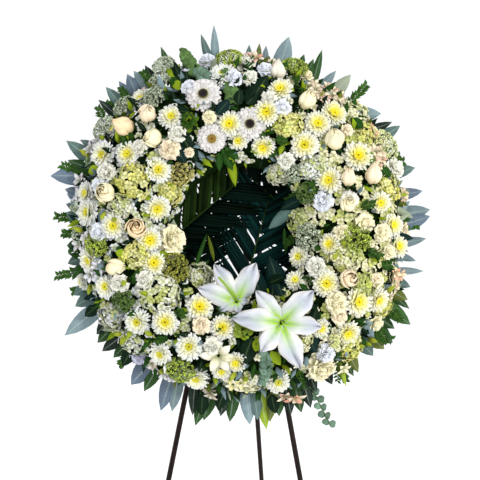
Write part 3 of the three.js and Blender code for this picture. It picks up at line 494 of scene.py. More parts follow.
def add_chrysanthemums(petals, discs, spots):
    """Four whorls of strap petals round a disc of upright florets, steeper and yellower towards it."""
    centre, turn, n, r = heads(spots, HEAD_LIFT, 0.22)
    yellow = column_of(spots, 3)[:, None]
    # The whites carry painted light: bluish painted shade on the left of the wreath, warm painted sunlight on
    # the right.
    white = mixed(painted_daylight(column_of(spots, 0)), tone("pearl"), 0.7)[:, None, :]
    white = white * uniform(0.93, 1.03, (n, 1, 1))
    for k, (count, rise, reach, foot, tinted) in enumerate((
            (34, -0.1, 0.77, 0.28, 0.03), (30, 0.16, 0.72, 0.25, 0.12), (24, 0.42, 0.62, 0.22, 0.42),
            (18, 0.8, 0.46, 0.19, 0.85))):
        azimuth = ring_angles(n, count, 0.1, 0.13 * k)
        long = r * reach * uniform(0.82, 1.1, (n, count))
        tint = np.clip(yellow * tinted + uniform(-0.02, 0.03, (n, count)), 0, 1)
        colours = mixed(white, tone("lemon"), tint) * uniform(0.92, 1.06, (n, count, 1))
        whorl(petals, centre, turn, azimuth, r * foot, -2 + 1.2 * k, long, r * 0.2, STRAP, colours,
              mixed(colours, tone("yellow"), yellow * 0.95), fade=0.75, thick=0.5,
              rise=rise + uniform(-0.14, 0.16, (n, count)), curl=uniform(-0.15, 0.45, (n, count)))
    i, azimuth, foot = disc_places(r, 0.23, 34)
    gold = mixed(tone("lime"), tone("disc"), 0.3 + 0.7 * yellow)
    gold = mixed(gold, tone("disc_heart"), np.clip(0.35 - i / 8, 0, 1))
    whorl(discs, centre, turn, azimuth, foot, 2.0, 5.0 - foot * 0.2, 2.2, [1.0, 0.8], gold,
          rise=math.pi / 2, thick=2.0)


def add_carnations(petals, spots):
    """Six whorls of fan petals with ruffled tips, packed to a ball."""
    centre, turn, n, r = heads(spots)
    for k, (count, rise, reach) in enumerate(((11, 0.0, 0.98), (10, 0.35, 0.92), (9, 0.72, 0.86),
                                              (8, 1.05, 0.8), (6, 1.35, 0.76), (4, 1.5, 0.7))):
        azimuth = ring_angles(n, count, 0.25, 0.3 * k)
        colours = tones_of(spots)[:, None, :] * uniform(0.88, 1.08, (n, count, 1))
        whorl(petals, centre, turn, azimuth, r * 0.08, -1.0, r * reach * uniform(0.88, 1.1, (n, count)),
              r * (0.68 - 0.04 * k), [0.24, 0.72, 1.06, 1.0], colours,
              mixed(colours, tone("lemon"), 0.35) * 0.8,
              rise=rise + uniform(-0.26, 0.26, (n, count)), curl=uniform(-0.6, 0.6, (n, count)) + 0.1 * k,
              fade=0.7, cup=0.12, thick=0.5, ruffle=0.25, waves=3.3, points=5)


def heads_on_domes(centre, turn, radius, count, flatness, squash):
    """Centres and matrices of small heads spread over domes by the golden angle, each facing out."""
    i = np.arange(count)
    polar = np.broadcast_to(np.arccos(1 - (i + 0.5) / count * flatness), (len(centre), count))
    azimuth = i * GOLDEN_ANGLE + uniform(-0.12, 0.12, polar.shape)
    local = np.stack([np.sin(polar) * np.cos(azimuth), np.sin(polar) * np.sin(azimuth), np.cos(polar)], -1)
    out, drop = (np.einsum("hij,hbj->hbi", turn, v) for v in (local, local * np.array([1, 1, squash])))
    places = centre[:, None, :] + drop * radius[:, :, None] * uniform(0.9, 1.0, polar.shape + (1,))
    return places.reshape(-1, 3), turned_to(out.reshape(-1, 3))


def add_florets(petals, centre, turn, size, colours, hearts):
    """Four-petalled florets, one at each head."""
    grid = (len(centre), 4)
    azimuth = ring_angles(*grid, 0.16)
    shades = colours[:, None, :] * uniform(0.9, 1.06, grid + (1,))
    long = size[:, None] / 2 * uniform(0.85, 1.1, grid)
    whorl(petals, centre, turn, azimuth, 0.3, 0.0, long, long * 1.15, ROUND, shades, hearts[:, None, :],
          fade=0.6, rise=uniform(-0.05, 0.45, grid), thick=0.45)


def add_hydrangeas(petals, spots):
    """Loose flattened domes of four-petalled florets, each head in shades of two colours."""
    centre, turn, n, r = heads(spots, HEAD_LIFT - 8)
    count = 38
    all_of = n * count
    places, turns = heads_on_domes(centre, turn, r * 1.1, count, 0.86, 0.46)
    green = uniform(0, 1, all_of) ** 2 * 0.9
    pale = mixed(np.repeat(tones_of(spots), count, 0), tone("white"), uniform(0, 0.6, all_of))
    colours = mixed(pale, tone("lime"), green) * uniform(0.85, 1.1, (all_of, 1))
    tilt = turned_to(turns[:, :, 2] + uniform(-0.45, 0.45, (all_of, 3)))
    places = places + turns[:, :, 2] * uniform(-6, 4, (all_of, 1))
    add_florets(petals, places, tilt, np.repeat(r[:, 0] ** 0.5 * 3.1, count), colours,
                mixed(colours, tone("lime"), 0.6) * 0.6)


def add_umbels(batch, spots):
    """A dome of stalks from one root, each with a small dome of buds at its end."""
    centre, turn, _, r = heads(spots, HEAD_LIFT - 3)
    count, buds = 40, 13
    places, turns = heads_on_domes(centre, turn, r, count, 0.8, 0.5)
    own = np.repeat(r, count, 0) * 0.165
    colours = np.repeat(tones_of(spots), count, 0) * uniform(0.75, 1.4, (len(places), 1))
    ends, end_turns = heads_on_domes(places, turns, own, buds, 1.0, 0.8)
    shades = (np.repeat(colours, buds, 0) * uniform(0.55, 1.5, (len(ends), 1)) ** 2)[:, None, :]
    size = np.repeat(own, buds, 0) * 0.5
    whorl(batch, ends, end_turns, np.zeros((len(ends), 1)), -size / 2, 0.0, size, size * 0.9, [0.8, 0.9],
          shades, shades * 1.3, rise=0.2, thick=1.2)
    root = np.repeat(centre - turn[:, :, 2] * 14, count, 0)
    along = unit(places - root)
    side = unit(np.cross(along, np.array([0.31, 0.9, 0.2])))
    add_blades(batch, root, along, side, np.cross(along, side), np.linalg.norm(places - root, axis=1), 0.9,
               [1, 1], tone("stem"), thick=0.9)


def add_rosettes(batch, spots):
    """Round leaves in four whorls that overlap like scales, lighter at their edges."""
    centre, turn, n, r = heads(spots)
    for k, (count, rise, reach) in enumerate(((6, -0.1, 1.0), (5, 0.35, 0.8), (4, 0.7, 0.6), (3, 1.1, 0.42))):
        azimuth = ring_angles(n, count, 0.3, 0.7 * k)
        colours = mixed(tones_of(spots)[:, None, :], tone("bright"), uniform(0, 0.5, (n, count)))
        colours = colours * uniform(0.8, 1.5, (n, count, 1))
        long = r * reach * uniform(0.8, 1.1, (n, count))
        whorl(batch, centre, turn, azimuth, r * 0.06, 1.5 * k, long, long * 0.95, [0.3, 0.78, 1.0, 0.95, 0.55],
              colours, colours * 0.35, fade=0.8, rise=rise, curl=uniform(-0.3, 0.3, (n, count)), cup=0.14,
              points=3)


def add_wrapped(batch, centre, turn, azimuth, spread, radius, height, low, colours, flare):
    """Petals that wrap round a head's axis, as a rose's do.

    At height u along a petal its distance from the axis is radius (0.5 + 0.5 sin(2 u)) (1 + 0.13 s)
    + flare u^3, its edge dips by s^2 near the tip, and s turns it by the angle spread s either way.
    """
    n, stations, points = len(centre), 7, 5
    u = np.linspace(0, 1, stations)[None, :, None]
    s, inner = loop_across(points)
    around = column(azimuth, n) + s * column(spread, n) * (0.5 + 0.5 * np.sin(u * 2.4))
    far = (column(radius, n) * (0.5 + 0.5 * np.sin(2.0 * u)) * (1 + 0.13 * s) - 0.7 * inner
           + column(flare, n) * u ** 3 * (1 + 0.3 * np.abs(s)))
    tall = column(low, n) + column(height, n) * (u - 0.22 * u ** 2 * s ** 2) - column(flare, n) * 0.4 * u ** 6
    local = np.stack(np.broadcast_arrays(far * np.cos(around), far * np.sin(around), tall), -1)
    own, share = colours[:, None, None, :], u[..., None]
    batch.add(centre[:, None, None, :] + np.einsum("nij,nabj->nabi", turn, local),
              blade_quads(n, stations, 2 * points)[:, ::-1],
              own * np.array([1.0, 0.92, 0.78]) * (1 - share) + own * share, u, s)


def add_roses(batch, leaves, spots):
    """Buds of petals that wrap round in five turns, closed or open at the top, with sepals below."""
    place, _, n, radii = heads(spots)
    r, opening = radii[:, 0], column_of(spots, 6)
    turn = turned_to(np.stack([column_of(spots, 4), -np.ones(n), column_of(spots, 5)], -1))
    centre = place + turn[:, :, 2] * radii * 0.1
    base = tones_of(spots) * 0.93
    tall, shut = 1.42 - 0.5 * opening, np.clip(1 - 5 * opening, 0, 1)
    for k, (count, share, height) in enumerate(((2, 0.2, 1.5), (3, 0.4, 1.5), (3, 0.62, 1.44), (3, 0.84, 1.34),
                                                (4, 1.0, 1.16))):
        for i in range(count):
            azimuth = FULL_TURN * (i + 0.37 * k) / count + uniform(-0.25, 0.25, n)
            shade = mixed(base * [1.0, 0.92, 0.76], base, 0.2 + 0.2 * k) * uniform(0.9, 1.05, (n, 1))
            lean = r * share * (-0.55 - 0.27 * shut + (0.25 + 0.22 * k) * opening * uniform(0.7, 1.5, n))
            add_wrapped(batch, centre, turn, azimuth, 2.2 / count + 0.6, r * share * uniform(0.92, 1.04, n),
                        r * height * tall, -r * 0.6, shade, lean)
    whorl(leaves, centre, turn, ring_angles(n, 5, 0.1), radii * 0.3, -radii * 0.5, radii * 0.8, 6.0, SPEAR,
          tone("mid"), rise=-0.2, curl=-0.9, points=3)


def add_buds(batch, spots):
    """Closed buds of three petals each, leaning any way."""
    centre, turn, n, _ = heads(spots, HEAD_LIFT + 8)
    turn = turned_to(turn[:, :, 2] + uniform(-0.8, 0.8, (n, 3)))
    shade = mixed(tone("bright"), tone("lemon"), uniform(0, 0.3, n))
    for i in range(3):
        colours = shade * uniform(0.8, 1.1, (n, 1))
        add_wrapped(batch, centre, turn, 2.1 * i, 1.4, 6.5, 24.0, -12.0, colours, -5.5)


def add_gerberas(petals, discs, spots):
    """Three whorls of narrow rays round a disc with a paler edge."""
    centre, turn, n, r = heads(spots)
    root = mixed(tone("gerbera"), tone("peach"), 0.6)
    for k, (count, reach, rise) in enumerate(((19, 0.86, 0.0), (19, 0.78, 0.1), (16, 0.52, 0.26))):
        azimuth = ring_angles(n, count, 0.04, 0.17 * k)
        colours = tone("gerbera") * uniform(0.8, 1.12, (n, count, 1))
        long = r * reach * uniform(0.94, 1.03, (n, count))
        whorl(petals, centre, turn, azimuth, r * 0.16, 0.6 * k, long, r * 0.31, STRAP, colours, root,
              rise=rise + uniform(-0.05, 0.05, (n, count)), curl=-0.12, cup=0.14, thick=0.5, points=3)
    i, azimuth, foot = disc_places(r, 0.25, 130)
    edge = np.clip((i / len(i) - 0.72) * 6, 0, 1)
    colours = mixed(tones_of(spots)[:, None, :], tone("sand") * 0.8, edge)
    whorl(discs, centre, turn, azimuth, foot, 2.5, 5.0 + foot * 0.1, 1.5, [1.0, 0.7], colours,
          rise=math.pi / 2 - 0.1, thick=1.4)


def add_small_lilies(petals, spots):
    """Clusters of three with six pointed petals on a short trumpet, every second one streaked."""
    near = [(x + dx, z + dz, 0.85 * size, name) for x, z, size, name in spots if size < 39
            for dx, dz in uniform(-20, 20, (2, 2))]
    pull = [min(1, 368 / math.hypot(x, z)) for x, z, _, _ in near]
    spots = spots + [(x * k, z * k, size, name) for k, (x, z, size, name) in zip(pull, near)]
    centre, turn, n, r = heads(spots, HEAD_LIFT + 3)
    azimuth = ring_angles(n, 6, 0.2)
    # The whites carry painted light: bluish painted shade on the left of the wreath, warm painted sunlight on
    # the right.
    white = painted_daylight(column_of(spots, 0))[:, None, :] * [1.0, 0.95, 0.9]
    own = tones_of(spots)[:, None, :]
    share = np.tile([0.15, 0.75], 3) * uniform(0.6, 1.2, (n, 6)).clip(0, 1)
    whorl(petals, centre, turn, azimuth, r * 0.1, -4.0, r * uniform(0.9, 1.2, (n, 6)), r * 0.6,
          [0.3, 0.8, 1.0, 0.75, 0.1], mixed(white, own, share), own * 0.45, fade=0.6,
          rise=uniform(0.5, 1.1, (n, 6)), curl=uniform(-1.1, -0.5, (n, 6)), cup=0.16, thick=0.5, points=3)


def lily_head(petals, pistils, at, tips, widths, pistil, stand):
    """Six tepals that leave a trumpet steeply and curl back, with wavy edges and a grooved midrib."""
    centre = heads([at])[0] + FRONT * stand
    tips, count = np.array(tips, float), len(tips)
    out = unit(np.stack([tips[:, 0], np.zeros(count), tips[:, 1]], -1))
    up = np.repeat(FRONT[None], count, 0)
    base = np.repeat(centre, count, 0) - FRONT * 10 + out * 2
    u = np.linspace(0, 1, 20)
    outline = np.interp(u, *TEPAL) * (1 + 0.07 * np.sin(12 * u + uniform(0, ANY_SPIN, (count, 1))))
    add_blades(petals, base, out, np.cross(up, out), up, np.hypot(*tips.T) * 1.07,
               LILY_WIDTH * np.array(widths), outline, tone("lily"), rise=uniform(0.65, 0.9, count),
               curl=-uniform(1.1, 1.7, count), cup=-0.22, thick=0.5, ruffle=0.14, waves=1.9, points=9,
               groove=0.16, sway=uniform(-6, 6, count))
    reach = np.array([pistil], float)
    along = unit(reach)
    side = unit(np.cross(along, np.array([0.2, 0.3, 1.0])))
    add_blades(pistils, centre - FRONT * 8, along, side, np.cross(along, side), np.linalg.norm(reach), 3.4,
               [0.9, 0.8, 0.8, 0.85, 1.5, 1.3], tone("pistil"), curl=0.2, thick=3.0, points=3)


def add_rim_leaves(batch, leaves):
    """Pointed leaves with a folded midrib, from roots in the groove at the rim to their tips."""
    x, z, tip_x, tip_z, width = (column_of(leaves, i) for i in range(5))
    n = len(leaves)
    tones = tones_of(leaves, 5) * uniform(0.8, 1.25, (n, 1))
    base = round_ring(np.arctan2(z, x), RIM_ROOT, RIM_LAYER + uniform(-2, 2, n))
    tip = np.stack([tip_x * NEARER, base[:, 1] - 2, tip_z * NEARER], -1)
    add_spans(batch, base, tip, width * 1.3, tones, OVATE, -0.14, curl=0.5)


def add_fringe(batch, count):
    """Short leaves all round the outer edge of the bank, pointing outwards."""
    angle = uniform(0, FULL_TURN, count)
    layer = uniform(-66, -14, count)
    turned = angle + uniform(-0.09, 0.09, count)
    reach = uniform(352, 386, count) + 0.15 * layer
    tip = round_ring(turned, reach, layer - uniform(0, 10, count))
    tones = np.array([tone(n) for n in FRINGE_COLOURS])[rng.integers(0, len(FRINGE_COLOURS), count)]
    add_spans(batch, round_ring(angle, FRINGE_ROOT, layer), tip, uniform(9, 19, count),
              tones * uniform(0.7, 1.4, (count, 1)), OVATE, -0.1, curl=0.4, points=3)


def add_bank_leaves(batch, leaves):
    """Larger leaves among the blooms, held just over the bank."""
    x, z, tip_x, tip_z, width = (column_of(leaves, i) for i in range(5))
    add_spans(batch, on_bank(x, z, HEAD_LIFT), on_bank(tip_x, tip_z, HEAD_LIFT + 9), width,
              tones_of(leaves, 5), OVATE, -0.12, curl=0.7)


def leaflets(root, tip, count, forwards, sides, jitter):
    """Shares along a stem, places there, and directions that lean forwards to the sides."""
    share = (np.arange(count) + 0.5) / count
    out = unit(tip - root)
    way = unit(out * forwards + np.cross(FRONT, out) * sides + uniform(-1, 1, (count, 3)) * jitter)
    return share, root + (tip - root) * share[:, None], way


def add_sprig(batch, root, tip, count, leaf, width, colour, outline=SPEAR):
    """A stem from root to tip with leaflets on both sides by turns."""
    root, tip = np.array(root, float), np.array(tip, float)
    sides = np.where(np.arange(count) % 2, 1.0, -1.0)[:, None]
    share, path, way = leaflets(root, tip, count, 0.75, sides, 0.25)
    size = leaf * uniform(0.75, 1.1, count) * (1 - 0.35 * share)
    tones = colour * uniform(0.7, 1.35, (count, 1))
    add_spans(batch, path, path + way * size[:, None], width, tones, outline, -0.1, points=3)
    add_spans(batch, root[None], tip[None], 1.6, tone("stem"), [1, 1, 0.7], 0.0)


def add_palm(batch):
    """Fronds across the hole: long leaflets on both sides of a rib, each folded along its middle."""
    for i, (x, z, tip_x, tip_z, reach) in enumerate(PALM_FRONDS):
        y = PALM_FRONT + PALM_PITCH * i
        root, tip = np.array([x, y, z], float), np.array([tip_x, y, tip_z], float)
        for sign in (1.0, -1.0):
            share, base, way = leaflets(root, tip, PALM_LEAFLETS, 0.95, sign, np.array([0.05, 0, 0.05]))
            long = reach * 1.66 * np.sin(math.pi * (0.22 + 0.5 * share)) * uniform(0.86, 1.05, PALM_LEAFLETS)
            # Each frond's tone is dark as painted shade of the hole; the fronds given the near-black palm tone
            # carry painted deep shade.
            colour = tone("palm_olive" if sign > 0 and i == 0 else "palm_teal" if i in (1, 3) else "palm")
            tones = colour * uniform(0.25, 2.2, (PALM_LEAFLETS, 1))
            kept = (np.arange(PALM_LEAFLETS) + 2 * i + int(sign)) % 5 > 0
            add_spans(batch, base[kept], (base + way * long[:, None])[kept], 10.8, tones[kept], FINGER, -0.14,
                      points=3)
        add_spans(batch, root[None], tip[None], 3.4, tone("palm_olive") * 2, [1, 1, 0.5], 0.0)


def add_core(batch):
    """The stems and foam under the flowers: half an ellipse carried round the ring, closed at the back."""
    around, across = 180, 30
    a = np.linspace(0, FULL_TURN, around, endpoint=False)[:, None]
    theta = np.linspace(0, math.pi, across)[None]
    bump = -6 + 3 * np.sin(a * 61 + theta * 7) * np.sin(theta * 23 + a * 17)
    outer, inner, front = FOAM_OUTER + GAP, FOAM_INNER - GAP, FOAM_FRONT - GAP
    r, y = (np.concatenate([curve, np.broadcast_to(foam, (around, 4))], 1) for curve, foam in (
        (RING_MEAN - (RING_HALF + bump) * np.cos(theta), [outer, outer, inner, inner]),
        (RING_BACK - (RING_DEPTH + bump) * np.sin(theta), [RING_BACK, front, front, RING_BACK])))
    grid = np.arange(r.size).reshape(r.shape)
    turned = np.roll(grid, -1, 0)
    quads = np.stack([grid, np.roll(grid, -1, 1), np.roll(turned, -1, 1), turned], -1).reshape(-1, 4)
    batch.add(round_ring(a, r, y), quads, tone("dark"), np.zeros((1, 1)), np.zeros((1, 1)))


def bank_places(spacing, lift, blooms):
    """Places over the bank about a spacing apart, clear of the middles of the named blooms."""
    across = int(math.pi * RING_SECTION / spacing)
    spots, normals = [], []
    for j in range(1, across):
        theta = math.pi * j / across
        r = RING_MEAN - (RING_HALF + lift) * math.cos(theta)
        n = int(FULL_TURN * r / spacing)
        a = (np.arange(n) + uniform(0, 1)) * FULL_TURN / n + uniform(-0.3, 0.3, n) * spacing / r
        t = theta + uniform(-0.35, 0.35, n) * spacing / RING_SECTION
        spots.append(round_ring(a, RING_MEAN - (RING_HALF + lift) * np.cos(t),
                                RING_BACK - (RING_DEPTH + lift) * np.sin(t)))
        normals.append(round_ring(a, -np.cos(t), -np.sin(t)))
    spots, normals = np.concatenate(spots), np.concatenate(normals)
    gap = np.hypot(spots[:, None, 0] - blooms[None, :, 0], spots[:, None, 2] - blooms[None, :, 1])
    free = (gap > blooms[None, :, 2] * 0.36).all(1) & (spots[:, 1] < FLOWER_BACK)
    free &= np.hypot(spots[:, 0], spots[:, 2]) > HOLE_RADIUS
    return spots[free], normals[free]


def add_filler(florets, leaves, blooms):
    """Small florets and leaves wherever the named blooms leave the bank bare, with more leaves outwards."""
    spots, normals = bank_places(14.0, 6.0, blooms)
    turns = turned_to(normals + uniform(-0.3, 0.3, normals.shape))
    kinds = uniform(0, 1, len(spots))
    flowery = kinds < 0.56 - 0.46 * (spots[:, 2] / 340) ** 2 + 0.2 * np.clip(spots[:, 0] / 250, 0, 1)
    # The filler florets' whites carry the same painted light: bluish painted shade on the left, warm painted
    # sunlight on the right.
    tones = mixed(painted_daylight(spots[:, 0]), tone("lime"), rng.choice([0, 0, 0.15, 0.4, 0.8], len(spots)))[flowery]
    add_florets(florets, spots[flowery], turns[flowery], uniform(14, 23, len(tones)), tones,
                mixed(tones, tone("lime"), 0.5) * 0.7)
    spots, normals = spots[~flowery], normals[~flowery]
    way = unit(normals * 0.5 + uniform(-1, 1, spots.shape))
    size = uniform(20, 38, len(spots)) * np.clip((np.hypot(spots[:, 0], spots[:, 2]) - 110) / 60, 0, 1)
    tones = np.array([tone(n) for n in FILLER_COLOURS])[rng.integers(0, len(FILLER_COLOURS), len(spots))]
    add_spans(leaves, spots, spots + way * size[:, None], size * 0.36, tones, SPEAR, -0.1,
              facing=(0.1, -0.9, 0.3), points=3)


class Link:
    """A shader socket. Arithmetic on it adds Math nodes."""

    def __init__(self, graph, socket):
        self.graph, self.socket = graph, socket

    def math(self, operation, *others):
        return self.graph.calculate(operation, self, *others)

    def __add__(self, other):
        return self.math("ADD", other)

    def __mul__(self, other):
        return self.math("MULTIPLY", other)

    def __sub__(self, other):
        return self.math("SUBTRACT", other)

    def __rsub__(self, other):
        return self.graph.calculate("SUBTRACT", other, self)

    def __pow__(self, other):
        return self.math("POWER", other)

    __radd__, __rmul__ = __add__, __mul__


class Graph:
    """A material's node tree with its surface shader."""

    def __init__(self, name, **constants):
        self.material = bpy.data.materials.new(name)
        self.material.use_nodes = True
        self.tree = self.material.node_tree
        self.surface = self.tree.nodes["Principled BSDF"]
        for key, value in constants.items():
            self.surface.inputs[key.replace("_", " ")].default_value = value

    def node(self, kind, settings, values, output=0):
        made = self.tree.nodes.new(kind)
        for key, value in settings.items():
            setattr(made, key, value)
        for key, value in values.items():
            self.feed(made.inputs[key], value)
        return Link(self, made.outputs[output])

    def feed(self, socket, value):
        if isinstance(value, Link):
            self.tree.links.new(value.socket, socket)
        else:
            socket.default_value = value

    def calculate(self, operation, *values):
        return self.node("ShaderNodeMath", {"operation": operation}, dict(enumerate(values)))

    def mix(self, a, b, factor):
        rgba = lambda v: v if isinstance(v, Link) else (*v, 1.0)
        return self.node("ShaderNodeMix", {"data_type": "RGBA"}, {0: factor, 6: rgba(a), 7: rgba(b)}, 2)

    def attribute(self, name, output="Fac"):
        return self.node("ShaderNodeAttribute", {"attribute_name": name}, {}, output)

    def noise(self, scale, detail=3.0, stretch=None):
        place = self.node("ShaderNodeTexCoord", {}, {}, "Object")
        if stretch:
            place = self.node("ShaderNodeMapping", {}, {"Vector": place, "Scale": stretch})
        return self.node("ShaderNodeTexNoise", {}, {"Vector": place, "Scale": scale, "Detail": detail}, "Fac")

    def finish(self, colour, roughness, height, depth):
        self.feed(self.surface.inputs["Base Color"], colour)
        self.feed(self.surface.inputs["Roughness"], roughness)
        bump = self.node("ShaderNodeBump", {}, {"Height": height, "Distance": depth, "Strength": 0.5})
        self.feed(self.surface.inputs["Normal"], bump)
        return self.material


def crest(away, sharpness):
    """1 where away is 0, falling in a straight line to 0 at 1 / sharpness."""
    return (1 - away * sharpness).math("MAXIMUM", 0.0)


def petal_material(name, roughness, ribs, throat, throat_share):
    """Petals in their own tone, with fine ribs along them and another colour towards the root."""
    g = Graph(name, Specular_IOR_Level=0.25)
    along, side = g.attribute("along"), g.attribute("side")
    mottle = g.noise(160.0)
    rib = (side * ribs + mottle * 2.0).math("SINE")
    own = g.mix(g.attribute("tone", "Color"), throat, (1 - along) ** 3.0 * throat_share)
    shaded = g.mix(own, (0.3, 0.34, 0.3), rib * 0.03 + mottle * 0.06)
    return g.finish(shaded, mottle * 0.2 + roughness, rib * 0.4 + mottle * 0.6, 0.0003)


def leaf_material(name, roughness, vein_colour, vein_share, shine):
    """Leaves in their own tone, with a pale midrib, side veins and a mottled surface."""
    g = Graph(name, Specular_IOR_Level=shine)
    along, away = g.attribute("along"), g.attribute("side").math("ABSOLUTE")
    rib = crest(away, 7.0)
    vein = ((along * 70.0 - away * 16.0).math("SINE") * 4.0 - 3.0).math("MAXIMUM", 0.0)
    mottle = g.noise(70.0)
    own = g.mix(g.attribute("tone", "Color"), (0.001, 0.004, 0.001), mottle * 0.42)
    marked = g.mix(own, vein_colour, (rib + vein * 0.4) * vein_share)
    return g.finish(marked, mottle * 0.25 + roughness, mottle * 0.5 - vein * 0.4 - rib, 0.0006)


def lily_material():
    """Waxy tepals: the lavender grey tone is painted shade on white, the paler edges and tips are painted
    highlight, and green lies beside the midrib in the throat.
    """
    g = Graph("lily_petal", Specular_IOR_Level=0.3)
    along, side = g.attribute("along"), g.attribute("side")
    away = side.math("ABSOLUTE")
    mottle = g.noise(22.0, 2.0)
    # Paler towards the edges and tips as a painted highlight, broken up by the mottle.
    pale = away ** 3.0 * 0.75 + along ** 4.0 * 0.2 + (mottle * 2.0 - 0.9)
    own = g.mix(g.attribute("tone", "Color"), (0.8, 0.77, 0.76), pale)
    green = g.mix(own, (0.36, 0.6, 0.02), (1 - along) ** 2.8 * (crest(away, 1.7) + 0.16) * 1.9)
    lined = g.mix(green, (0.3, 0.4, 0.42), crest(away, 6.0) * (1 - along) * 0.55)
    return g.finish(lined, mottle * 0.2 + 0.32, (side * 26.0).math("SINE") * 0.3 + mottle * 0.4, 0.0003)


def floret_material(name, roughness):
    """Tiny florets in their own tone, darker at their feet."""
    g = Graph(name)
    mottle = g.noise(420.0)
    own = g.mix(g.attribute("tone", "Color"), (0.05, 0.06, 0.02), (1 - g.attribute("along")) * 0.35 * mottle)
    return g.finish(own, mottle * 0.2 + roughness, mottle, 0.0004)


def wood_material():
    """Dark stained wood with a faint brown grain along the legs."""
    g = Graph("stained_wood", Specular_IOR_Level=0.12)
    grain = g.noise(1.0, 6.0, (190, 190, 9))
    flecks = g.noise(1.0, 2.0, (600, 600, 30))
    own = g.mix((0.002, 0.0015, 0.0015), (0.03, 0.012, 0.008), grain ** 2.5 * 1.6)
    return g.finish(own, flecks * 0.25 + 0.3, grain * 0.7 + flecks * 0.3, 0.0006)


def grained_material(name, low, high, roughness, depth, spread=0.25, scale=1.0, detail=5.0, stretch=None,
                     **constants):
    """Two near colours in a fine grain that also roughens the surface by up to spread."""
    g = Graph(name, **constants)
    grain = g.noise(scale, detail, stretch)
    return g.finish(g.mix(low, high, grain), grain * spread + roughness, grain, depth)


def dress(nodes, material):
    """Gives the solids of the nodes a material."""
    for name in nodes:
        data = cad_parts[name].data
        data.materials.clear()
        data.materials.append(material)


def lights_and_camera():
    """Plain soft light, and a camera that looks square on at the wreath's plane, which leans back."""
    scene = bpy.context.scene
    scene.view_settings.view_transform = "Standard"
    world = bpy.data.worlds.new("studio")
    world.use_nodes = True
    for key, value in (("Color", SKY), ("Strength", SKY_STRENGTH)):
        world.node_tree.nodes["Background"].inputs[key].default_value = value
    scene.world = world
    aim = Vector(to_row(np.array([VIEW_X, 0, VIEW_Z]))[0])
    away = Vector(TURN @ FRONT)

    def aimed(name, data, place):
        thing = bpy.data.objects.new(name, data)
        thing.location = place
        thing.rotation_euler = (aim - Vector(place)).to_track_quat("-Z", "Y").to_euler()
        scene.collection.objects.link(thing)
        return thing

    lens = bpy.data.cameras.new("camera")
    lens.sensor_width = SENSOR
    lens.lens = SENSOR * (VIEW_DISTANCE - LENS_SHARE) / (PHOTO_WIDTH_MM * MM)
    scene.camera = aimed("camera", lens, aim + away * VIEW_DISTANCE)
    for name, place, size, power in (
            ("key_light", (2.0, -3.0, 2.2), 0.6, 64), ("side_light", (-2.6, -1.6, 1.6), 1.8, 8),
            ("back_light", (0.6, 2.6, 2.6), 2.2, 20)):
        lamp = bpy.data.lights.new(name, "AREA")
        lamp.size, lamp.energy = size, power
        aimed(name, lamp, place)


def lay_floor():
    """A pale floor far past the edges of the picture."""
    mesh = bpy.data.meshes.new("floor")
    mesh.from_pydata([(x * FLOOR_REACH, y * FLOOR_REACH, 0) for x, y in ((-1, -1), (1, -1), (1, 1), (-1, 1))],
                     [], [(0, 1, 2, 3)])
    mesh.materials.append(grained_material("pale_floor", (0.95,) * 3, (0.98,) * 3, 0.8, 0.0002, scale=30.0))
    floor = bpy.data.objects.new("floor", mesh)
    bpy.context.scene.collection.objects.link(floor)


def numbered(name, count, digits=1):
    """The names of the numbered nodes."""
    return [f"{name}_{i:0{digits}d}" for i in range(1, count + 1)]


lights_and_camera()
lay_floor()
white_petal = petal_material("white_petal", 0.45, 16.0, (0.66, 0.74, 0.3), 0.5)
rose_petal = petal_material("rose_petal", 0.5, 9.0, (0.9, 0.78, 0.5), 0.3)
lily_petal = lily_material()
yellow_disc = floret_material("yellow_disc", 0.6)
dark_disc = floret_material("dark_disc", 0.7)
umbel_floret = floret_material("umbel_floret", 0.65)
rim_leaf = leaf_material("rim_leaf", 0.4, (0.5, 0.6, 0.52), 0.35, 0.18)
small_leaf = leaf_material("small_leaf", 0.38, (0.24, 0.36, 0.16), 0.14, 0.06)
palm_leaf = leaf_material("palm_leaf", 0.42, (0.02, 0.05, 0.02), 0.2, 0.02)
# Near-black green for the stems and foam under the flowers: painted shade in the gaps between the blooms.
stems_in_painted_shade = grained_material("stems_in_painted_shade", (0.001, 0.004, 0.001), (0.012, 0.035, 0.005), 0.6, 0.004,
                              spread=0.3, scale=55.0, detail=6.0, Specular_IOR_Level=0.05)

pieces = defaultdict(Batch)
leaves, carnations = pieces["bank_leaves"], pieces["carnation_petals"]
umbels = SMALL_UMBELS + LARGE_UMBELS
add_chrysanthemums(pieces["chrysanthemum_petals"], pieces["chrysanthemum_discs"], CHRYSANTHEMUMS)
add_carnations(carnations, CARNATIONS)
add_small_lilies(carnations, SMALL_LILIES)
add_hydrangeas(pieces["hydrangea_florets"], HYDRANGEAS)
add_roses(pieces["rose_petals"], leaves, ROSES)
add_gerberas(pieces["gerbera_rays"], pieces["gerbera_discs"], GERBERAS)
add_umbels(pieces["umbels"], umbels)
for key, lily in LILIES.items():
    lily_head(pieces[f"lily_{key}_tepals"], pieces["lily_pistils"], **lily)

